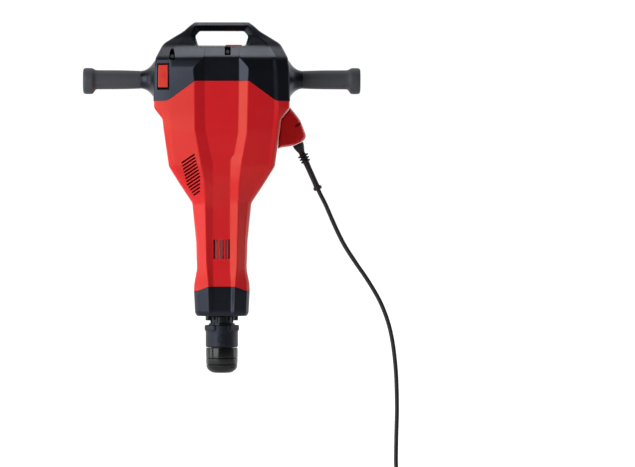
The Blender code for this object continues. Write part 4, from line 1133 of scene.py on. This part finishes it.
def side_lobe(sign, top):
    """A lobe of the collar, bored out where the sleeve's own bore runs."""
    outline = rounded([(sign * x, y, 0) for x, y, _ in LOBE_OUTLINE],
                      [reach for _, _, reach in LOBE_OUTLINE])
    lobe = solid("helper", [[(p.x * size, p.y * size, top - drop) for p in outline]
                            for drop, size in LOBE_STAGES])
    return combined(lobe, [peg(0.0300, top - 0.02, top + 0.002, 64)])


def sleeve_piece():
    """The turned sleeve with its two lobes and a plain shallow ring in its front."""
    top, foot = SLEEVE_HIGH[2], SLEEVE_LOW[2]
    outer = [(0.0280, top), (0.0322, top), (0.0338, top - 0.0012), (0.0340, top - 0.0120),
             (0.0337, top - 0.0145), (SLEEVE_RADIUS, top - 0.0175), (SLEEVE_RADIUS, foot + 0.0022),
             (SLEEVE_RADIUS - 0.0012, foot + 0.0004), (0.0318, foot)]
    inner = [(0.0262, foot), (0.0262, -0.5415), (0.0230, -0.5365), (0.0230, -0.5230),
             (0.0280, -0.5225)]
    sleeve = turned("locking_sleeve_moulding", outer + inner, steps=96, closed=True)
    tidy_normals(sleeve.data)
    sleeve = combined(sleeve, [side_lobe(sign, top) for sign in (1, -1)], "UNION")
    ring = turned("helper", RING_PROFILE, steps=48, along="Y", centre=(0, 0, top - 0.0290),
                  closed=True)
    return crisp(baked(combined(sleeve, [ring]), SLEEVE_NYLON))


stand_for(sleeve_piece(), "sleeve", "sleeve_black", "locking_sleeve")

# %% Dust cap
CAP_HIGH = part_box("dust_cap")[1]
CAP_RADIUS = 0.0332
CAP_TOP = SLEEVE_LOW[2] - 0.0012


def groove(z, radius, depth=0.0013, width=0.0013):
    """Profile points of a round-bottomed groove."""
    return [(radius, z + width), (radius - depth * 0.75, z + width * 0.35), (radius - depth, z),
            (radius - depth * 0.75, z - width * 0.35), (radius, z - width)]


profile = [(0.0229, CAP_TOP), (0.0322, CAP_TOP), (CAP_RADIUS, CAP_TOP - 0.0010)]
profile += groove(-0.5755, CAP_RADIUS) + groove(-0.5887, 0.0327)
profile += [(0.0322, -0.5938), (0.0300, -0.5985), (0.0250, -0.6030), (0.0215, -0.6050),
            (0.0185, -0.6060), (0.0175, -0.6058), (0.0168, -0.6050), (0.0168, -0.5903),
            (0.0229, -0.5903)]
cap = turned("rubber_dust_cap", profile, CAP_RUBBER, steps=96, closed=True)
stand_for(crisp(cap, 50), "drive_unit", "cap_rubber", "dust_cap")
print("cap drawn up by", round(CAP_TOP - CAP_HIGH[2], 4), "m to meet the sleeve")

# %% [markdown]
# ## Cord boss and strain relief
#
# The cord leaves through a red outlet at the right, whose slanted top keeps rain off. A rubber
# strain relief is clipped in it: ribbed where it has to bend, smooth below, with a collar that
# ends it. Both follow the CAD's places.

# %% Boss
BOSS_LOW, BOSS_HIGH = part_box("cord_boss")
BOSS_FRONT, BOSS_BACK = BOSS_LOW[1], BOSS_HIGH[1]
# x, z and how far the corner is rounded
BOSS_OUTLINE = (
    (0.1409, -0.0560, 0.004), (0.1622, -0.0824, 0.010), (0.1750, -0.1167, 0.006),
    (0.1698, -0.1260, 0.005), (0.1442, -0.1370, 0.006), (0.1245, -0.1395, 0.003),
    (0.1161, -0.1430, 0.003), (0.1200, -0.1040, 0.003), (0.1223, -0.0820, 0.003),
    (0.1397, -0.0603, 0.004))
BOSS_SLOT = ((0.1500, -0.0950), (0.1620, -0.0885), (0.1640, -0.0915), (0.1540, -0.0985))


def boss_piece():
    """The outlet: one outline that shrinks towards its softly rounded front, and a slot."""
    outline = rounded_flat([(x, z) for x, z, _ in BOSS_OUTLINE], [r for _, _, r in BOSS_OUTLINE])
    mid_x = sum(x for x, _ in outline) / len(outline)
    mid_z = sum(z for _, z in outline) / len(outline)
    stages = ((BOSS_BACK, 0.93), (BOSS_BACK - 0.0010, 0.98), (BOSS_BACK - 0.0035, 1.0),
              (BOSS_FRONT + 0.0080, 1.0), (BOSS_FRONT + 0.0022, 0.92), (BOSS_FRONT, 0.86))
    boss = solid("red_cord_outlet", [[(mid_x + (x - mid_x) * share, y, mid_z + (z - mid_z) * share)
                                      for x, z in outline] for y, share in stages])
    slot = prism(rounded_flat(BOSS_SLOT, [0.0008] * 4), BOSS_FRONT - 0.01, BOSS_FRONT + 0.010)
    return crisp(baked(combined(boss, [slot]), RED_NYLON), 40)


stand_for(boss_piece(), "casing", "housing_red", "cord_boss")

# %% Strain relief
RELIEF_TOP = Vector((0.1574, 0.0240, -0.1318))
RELIEF_DIRECTION = Vector((0.4083, 0.0, -0.9129)).normalized()
RELIEF_LENGTH = 0.1052


def relief_piece():
    """A turned rubber sleeve, with three ribs below its mouth and a collar at its end."""
    profile = [(0.0, 0.0003), (0.0116, 0.0003), (0.0112, 0.0060), (0.0098, 0.0110),
               (0.0074, 0.0170), (0.0064, 0.0200)]
    for i in range(3):
        rib, swell = 0.0275 + 0.0062 * i, 0.0112 - 0.0006 * i
        profile += [(0.0066, rib - 0.0024), (swell, rib - 0.0013), (swell, rib + 0.0013),
                    (0.0066, rib + 0.0024)]
    profile += [(0.0062, 0.0480), (0.0060, 0.0560), (0.0059, 0.0900), (0.0062, 0.0960),
                (0.0088, 0.0985), (0.0092, 0.1010), (0.0084, 0.1040), (0.0060, 0.1050),
                (0.0, 0.1051)]
    relief = turned("ribbed_strain_relief", profile, steps=48)
    turn = RELIEF_DIRECTION.to_track_quat("Z", "Y").to_matrix().to_4x4()
    relief.data.transform(Matrix.Translation(RELIEF_TOP) @ turn)
    relief.data.materials.append(CORD_RUBBER)
    return crisp(relief, 50)


stand_for(relief_piece(), "casing", "cord_rubber", "strain_relief")

# %% [markdown]
# ## Mains cord
#
# A heavy rubber cord, 9 mm thick. It leaves the strain relief straight, sags outwards under its
# own weight, comes down to the floor and is wound there in a flat two-layer coil, as it would be
# stored. The first layer winds in, the second winds out on top, and the end goes to the plug.
# The listed points are those of the CAD, joined by a smooth curve.

# %% Route
CORD_RADIUS = 0.0045
FLOOR_Z = -0.8780
COIL_CENTRE = Vector((0.4600, 0.0, 0.0))
OUTER_TURN, INNER_TURN = 0.0731, 0.0358
LAYER_TURNS = 4
LAYER_RISE = 0.0094
CORD_ROUTE = (
    (0.2156, 0.0238, -0.2590), (0.2284, 0.0230, -0.2886), (0.2415, 0.0215, -0.3175),
    (0.2566, 0.0190, -0.3463), (0.2785, 0.0150, -0.3801), (0.3056, 0.0100, -0.4200),
    (0.3310, 0.0040, -0.4660), (0.3490, -0.0030, -0.5200), (0.3590, -0.0100, -0.5900),
    (0.3620, -0.0170, -0.6700), (0.3600, -0.0270, -0.7500), (0.3600, -0.0380, -0.8050),
    (0.3680, -0.0510, -0.8430), (0.3850, -0.0630, -0.8640), (0.4060, -0.0712, -0.8723),
    (0.4210, -0.0731, -0.8735), (0.4400, -0.0731, -0.8735), (0.4600, -0.0731, -0.8735),
)
CORD_EXIT = RELIEF_TOP + RELIEF_DIRECTION * (RELIEF_LENGTH + 0.0006)


def smooth_points(route, pieces=6):
    """Points on the Catmull-Rom curve through a route."""
    knots = [Vector(p) for p in route]
    knots = [2 * knots[0] - knots[1]] + knots + [2 * knots[-1] - knots[-2]]
    points = []
    for a, b, c, d in zip(knots, knots[1:], knots[2:], knots[3:]):
        for i in range(pieces):
            t = i / pieces
            points.append(0.5 * (2 * b + (c - a) * t + (2 * a - 5 * b + 4 * c - d) * t * t
                                 + (3 * b - a - 3 * c + d) * t ** 3))
    return points + [knots[-2]]


def coil_points(steps=32):
    """Layer one winds in, half a turn climbs at the middle, and layer two winds out."""
    floor_level = FLOOR_Z + CORD_RADIUS
    turns = 2 * LAYER_TURNS + 0.5
    points = []
    for i in range(1, int(turns * steps) + 1):
        turn = i / steps
        inward = min(turn, LAYER_TURNS)
        outward = max(turn - LAYER_TURNS - 0.5, 0.0)
        radius = OUTER_TURN + (INNER_TURN - OUTER_TURN) * (inward - outward) / LAYER_TURNS
        rise = LAYER_RISE * eased((turn - LAYER_TURNS) / 0.32)
        angle = math.tau * turn - math.pi / 2
        points.append(Vector((COIL_CENTRE.x + radius * math.cos(angle),
                              COIL_CENTRE.y + radius * math.sin(angle), floor_level + rise)))
    return points


def lead_out(last):
    """The last few centimetres, from the coil into the back of the plug."""
    end = Vector((PLUG_ENTRY.x - 0.006, PLUG_ENTRY.y, PLUG_ENTRY.z))
    points = []
    for i in range(1, 9):
        share = i / 8
        points.append(Vector((last.x + (end.x - last.x) * share, last.y + (end.y - last.y) * share,
                              last.z + (end.z - last.z) * eased(share))))
    return points


plug_low, plug_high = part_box("mains_plug")
PLUG_ENTRY = Vector((plug_high[0], middle_of("mains_plug").y, middle_of("mains_plug").z))
straight = [CORD_EXIT - RELIEF_DIRECTION * 0.004, CORD_EXIT + RELIEF_DIRECTION * 0.008]
points = smooth_points(straight + list(CORD_ROUTE))
points += coil_points()
points += lead_out(points[-1])

# %% Cord, tie and plug
curve = bpy.data.curves.new("mains_cord_curve", "CURVE")
curve.dimensions = "3D"
curve.bevel_depth = CORD_RADIUS
curve.bevel_resolution = 5
curve.use_fill_caps = True
spline = curve.splines.new("POLY")
spline.points.add(len(points) - 1)
for target, point in zip(spline.points, points):
    target.co = (*point, 1.0)
spline.use_smooth = True
cord = show("rubber_mains_cord", curve, CORD_RUBBER)
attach(cord, "casing")
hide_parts("mains_cord", "cord_coil")


def tie_piece():
    """A hook-and-loop strap round the coil's outer side."""
    low_z, high_z = FLOOR_Z + 0.0001, FLOOR_Z + 2 * CORD_RADIUS + LAYER_RISE + 0.0010
    loop = rounded_flat(rectangle(INNER_TURN - 0.0052, low_z, OUTER_TURN + 0.0052, high_z),
                        [0.004] * 4)
    strap = skin("hook_and_loop_tie", [[(x, y, z) for x, z in loop] for y in (-0.0080, 0.0080)])
    tidy_normals(strap.data)
    strap = walled(strap, 0.0011)
    strap.data.transform(Matrix.Translation(COIL_CENTRE))
    tidy_normals(strap.data)
    strap.data.materials.append(SLEEVE_NYLON)
    return crisp(strap, 40)


def plug_piece():
    """A round rubber plug: ribbed neck, cupped body, face and two pins."""
    profile = [(0.0, 0.0), (0.0058, 0.0)]
    for i in range(4):
        foot, rib, start = 0.0062 + 0.0005 * i, 0.0078 + 0.0004 * i, 0.005 * i
        profile += [(foot, 0.0020 + start), (rib, 0.0032 + start), (rib, 0.0046 + start),
                    (foot + 0.0002, 0.0056 + start)]
    profile += [(0.0090, 0.0245), (0.0136, 0.0295), (0.0170, 0.0335), (0.0185, 0.0375),
                (0.0185, 0.0460), (0.0180, 0.0475), (0.0185, 0.0490), (0.0185, 0.0570),
                (0.0175, 0.0584), (0.0, 0.0585)]
    pin = [(0, 0.0560), (0.0024, 0.0560), (0.0024, 0.0758), (0.0016, 0.0770), (0, 0.0770)]
    turn = Matrix.Rotation(-math.pi / 2, 4, "Y")
    parts = [(turned("rubber_mains_plug", profile, steps=48), 0.0, CORD_RUBBER)]
    parts += [(turned("helper", pin, steps=24), side, BRASS) for side in (0.0095, -0.0095)]
    for part, side, material in parts:
        part.data.transform(Matrix.Translation(PLUG_ENTRY + Vector((0, side, 0))) @ turn)
        part.data.materials.append(material)
    body, *pins = [part for part, _, _ in parts]
    return crisp(combined(body, pins, "UNION"), 45)


tie = tie_piece()
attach(tie, "casing")
plug = plug_piece()
stand_for(plug, "casing", "cord_rubber", "mains_plug")

# %% [markdown]
# ## Suspension springs
#
# The handle housing hangs on two coil springs, which keep the hammering away from the hands. A
# coil is a helix with round wire swept along it. When the drive unit moves up into the casing,
# the real springs get shorter; here each is drawn at the length of its CAD part and moves with
# the casing.


# %% Suspension springs
def spring_tree():
    """Round wire swept along a helix."""
    tree, given = open_tree("coil_spring", (
        ("Turns", "Float"), ("Radius", "Float"), ("Height", "Float"), ("Wire", "Float"),
        ("Finish", "Material")))
    helix = add_node(tree, "GeometryNodeCurveSpiral", {"Resolution": 24},
                     {"Rotations": given["Turns"], "Start Radius": given["Radius"],
                      "End Radius": given["Radius"], "Height": given["Height"]})
    wire = add_node(tree, "GeometryNodeCurvePrimitiveCircle", {"Resolution": 12},
                    {"Radius": given["Wire"]})
    swept = add_node(tree, "GeometryNodeCurveToMesh", {"Fill Caps": True},
                     {"Curve": helix.outputs["Curve"], "Profile Curve": wire.outputs["Curve"]})
    return close_tree(tree, swept.outputs["Mesh"], given["Finish"])


SPRING = spring_tree()
SPRING_CLEAR = 0.0002
WIRE = 0.0011
for node in ("suspension_spring_front", "suspension_spring_rear"):
    low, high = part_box(node)
    height = high[2] - low[2]
    radius = min(high[0] - low[0], high[1] - low[1]) / 2 - WIRE
    coil = from_tree("steel_" + node, SPRING, {
        "Turns": 5.5, "Radius": radius, "Height": height - 2 * WIRE - 2 * SPRING_CLEAR,
        "Wire": WIRE, "Finish": TURNED_STEEL},
        ((low[0] + high[0]) / 2, (low[1] + high[1]) / 2, low[2] + WIRE + SPRING_CLEAR))
    coil.data.shade_smooth()
    stand_for(coil, "casing", "steel", node)
    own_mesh(coil)
    print("spring", round(height, 4), "m high, radius", round(radius, 4))

# %% [markdown]
# ## Works inside
#
# The drive is carried over from the CAD as it is: castings, gears, motor and percussion parts.
# The barrel shows through the front vent, and the rest shows when the file is taken apart, so
# each node gets the finish of its real material.

# %% Finishes of the works
WORKS = {
    "die-cast": (CAST_ALUMINIUM, ("crankcase", "gear_cover", "motor_flange", "motor_can",
                                  "barrel", "handle_bridge")),
    "turned": (TURNED_STEEL, ("handle_bar", "percussion_cylinder", "drive_piston", "striker",
                              "anvil", "wrist_pin", "lock_pin_left", "lock_pin_right",
                              "rotor_shaft", "idler_shaft", "crankshaft")),
    "ground": (GROUND_STEEL, ("stator_core", "rotor_core", "rotor_bearing_left",
                              "rotor_bearing_right", "crank_bearing", "crank_gear",
                              "idler_gear", "connecting_rod")),
    "wound": (COPPER_WINDING, ("stator_winding_left", "stator_winding_right", "commutator")),
    "stamped": (BRASS, ("brush_holder_upper", "brush_holder_lower")),
    "moulded": (BLACK_NYLON, ("switch_module", "control_module", "cooling_fan")),
}
for made, (finish, nodes) in WORKS.items():
    for name in nodes:
        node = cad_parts[name]
        if not node.material_slots:
            node.data.materials.append(finish)
        for slot in node.material_slots:
            slot.material = finish
    print(made, len(nodes))

# %% [markdown]
# ## Floor and light
#
# The studio is a white floor and four soft boxes. The largest stands in front at the left, so
# the left facets are lit and the right ones stay dark. One at the left side and a weak one at
# the right side draw the outlines, and one above and behind lights the sloping shoulder.
#
# A black plastic shows its form by what it reflects. The floor is therefore white behind the
# tool, where it is the background, and grey in front, where the lower facets would mirror it.
# The surround is dark in front and bright behind for the same reason. Behind the tool the floor
# also glows, which is painted light that keeps the background white.

# %% Floor
FLOOR_REACH = 40.0
FLOOR_CLEAR = 0.0005
WHITE, FRONT_GREY = "#FFFFFF", "#8A8A8C"
BEHIND_FROM, BEHIND_TO = 0.2, 1.3
FRONT_FROM, FRONT_TO = -1.2, -3.5
GLOW_BEHIND, GLOW_LEAST = 0.72, 0.03

floor_mesh = bpy.data.meshes.new("studio_floor")
corners = rectangle(-FLOOR_REACH, -FLOOR_REACH, FLOOR_REACH, FLOOR_REACH)
floor_mesh.from_pydata([(x, y, FLOOR_Z - FLOOR_CLEAR) for x, y in corners], [], [(0, 1, 2, 3)])
paper, tree, shader, place = new_material("white_studio_paper", 0.85)
floor = show("studio_floor", floor_mesh, paper)
depth = add_node(tree, "ShaderNodeSeparateXYZ", (), {"Vector": place}).outputs["Y"]


def ramp(tree, value, start, end, low=0.0, high=1.0):
    """A soft change from low to high while a value goes from start to end."""
    node = add_node(tree, "ShaderNodeMapRange", {"From Min": start, "From Max": end,
                                                 "To Min": low, "To Max": high},
                    {"Value": value}, interpolation_type="SMOOTHSTEP")
    return node.outputs["Result"]


behind = ramp(tree, depth, BEHIND_FROM, BEHIND_TO)
in_front = ramp(tree, depth, FRONT_FROM, FRONT_TO)
tone = blend(tree, noise(tree, place, 3.0, 2.0), "#E2E2E2", "#E8E8E8")
colour = blend(tree, behind, blend(tree, in_front, tone, FRONT_GREY), WHITE)
tree.links.new(colour, shader.inputs["Base Color"])
shader.inputs["Specular IOR Level"].default_value = 0.1
# painted light: the floor glows strongly behind the tool and barely in front, though it is no lamp
shader.inputs["Emission Color"].default_value = linear(WHITE)
glow = add_node(tree, "ShaderNodeMath", {1: GLOW_BEHIND, 2: GLOW_LEAST}, {0: behind},
                operation="MULTIPLY_ADD")
tree.links.new(glow.outputs["Value"], shader.inputs["Emission Strength"])


# %% Lights
def soft_box(name, place, width, height, watts, target=(0.0, 0.0, -0.2)):
    """A rectangular area light that faces the tool."""
    data = bpy.data.lights.new(name, "AREA")
    data.shape = "RECTANGLE"
    data.size = width
    data.size_y = height
    data.energy = watts
    lamp = bpy.data.objects.new(name, data)
    SCENE.collection.objects.link(lamp)
    lamp.location = place
    lamp.rotation_euler = (Vector(target) - Vector(place)).to_track_quat("-Z", "Y").to_euler()


soft_box("left_soft_box", (-1.85, -1.90, 0.35), 1.9, 2.6, 54.0)
soft_box("left_side_box", (-2.6, -0.25, -0.2), 0.9, 2.2, 15.0)
soft_box("top_soft_box", (0.0, 0.65, 2.3), 0.9, 1.4, 9.0)
soft_box("right_side_box", (2.2, 0.55, 0.1), 0.9, 2.2, 5.0)

world = bpy.data.worlds.new("pale_surround")
SCENE.world = world
world.use_nodes = True
sky = world.node_tree
backdrop = sky.nodes["Background"]
way = add_node(sky, "ShaderNodeTexCoord").outputs["Generated"]
way_back = add_node(sky, "ShaderNodeSeparateXYZ", (), {"Vector": way}).outputs["Y"]
sky.links.new(ramp(sky, way_back, -0.6, 1.0, 0.08, 1.05), backdrop.inputs["Strength"])
backdrop.inputs["Color"].default_value = linear(WHITE)
SCENE.view_settings.view_transform = "Standard"
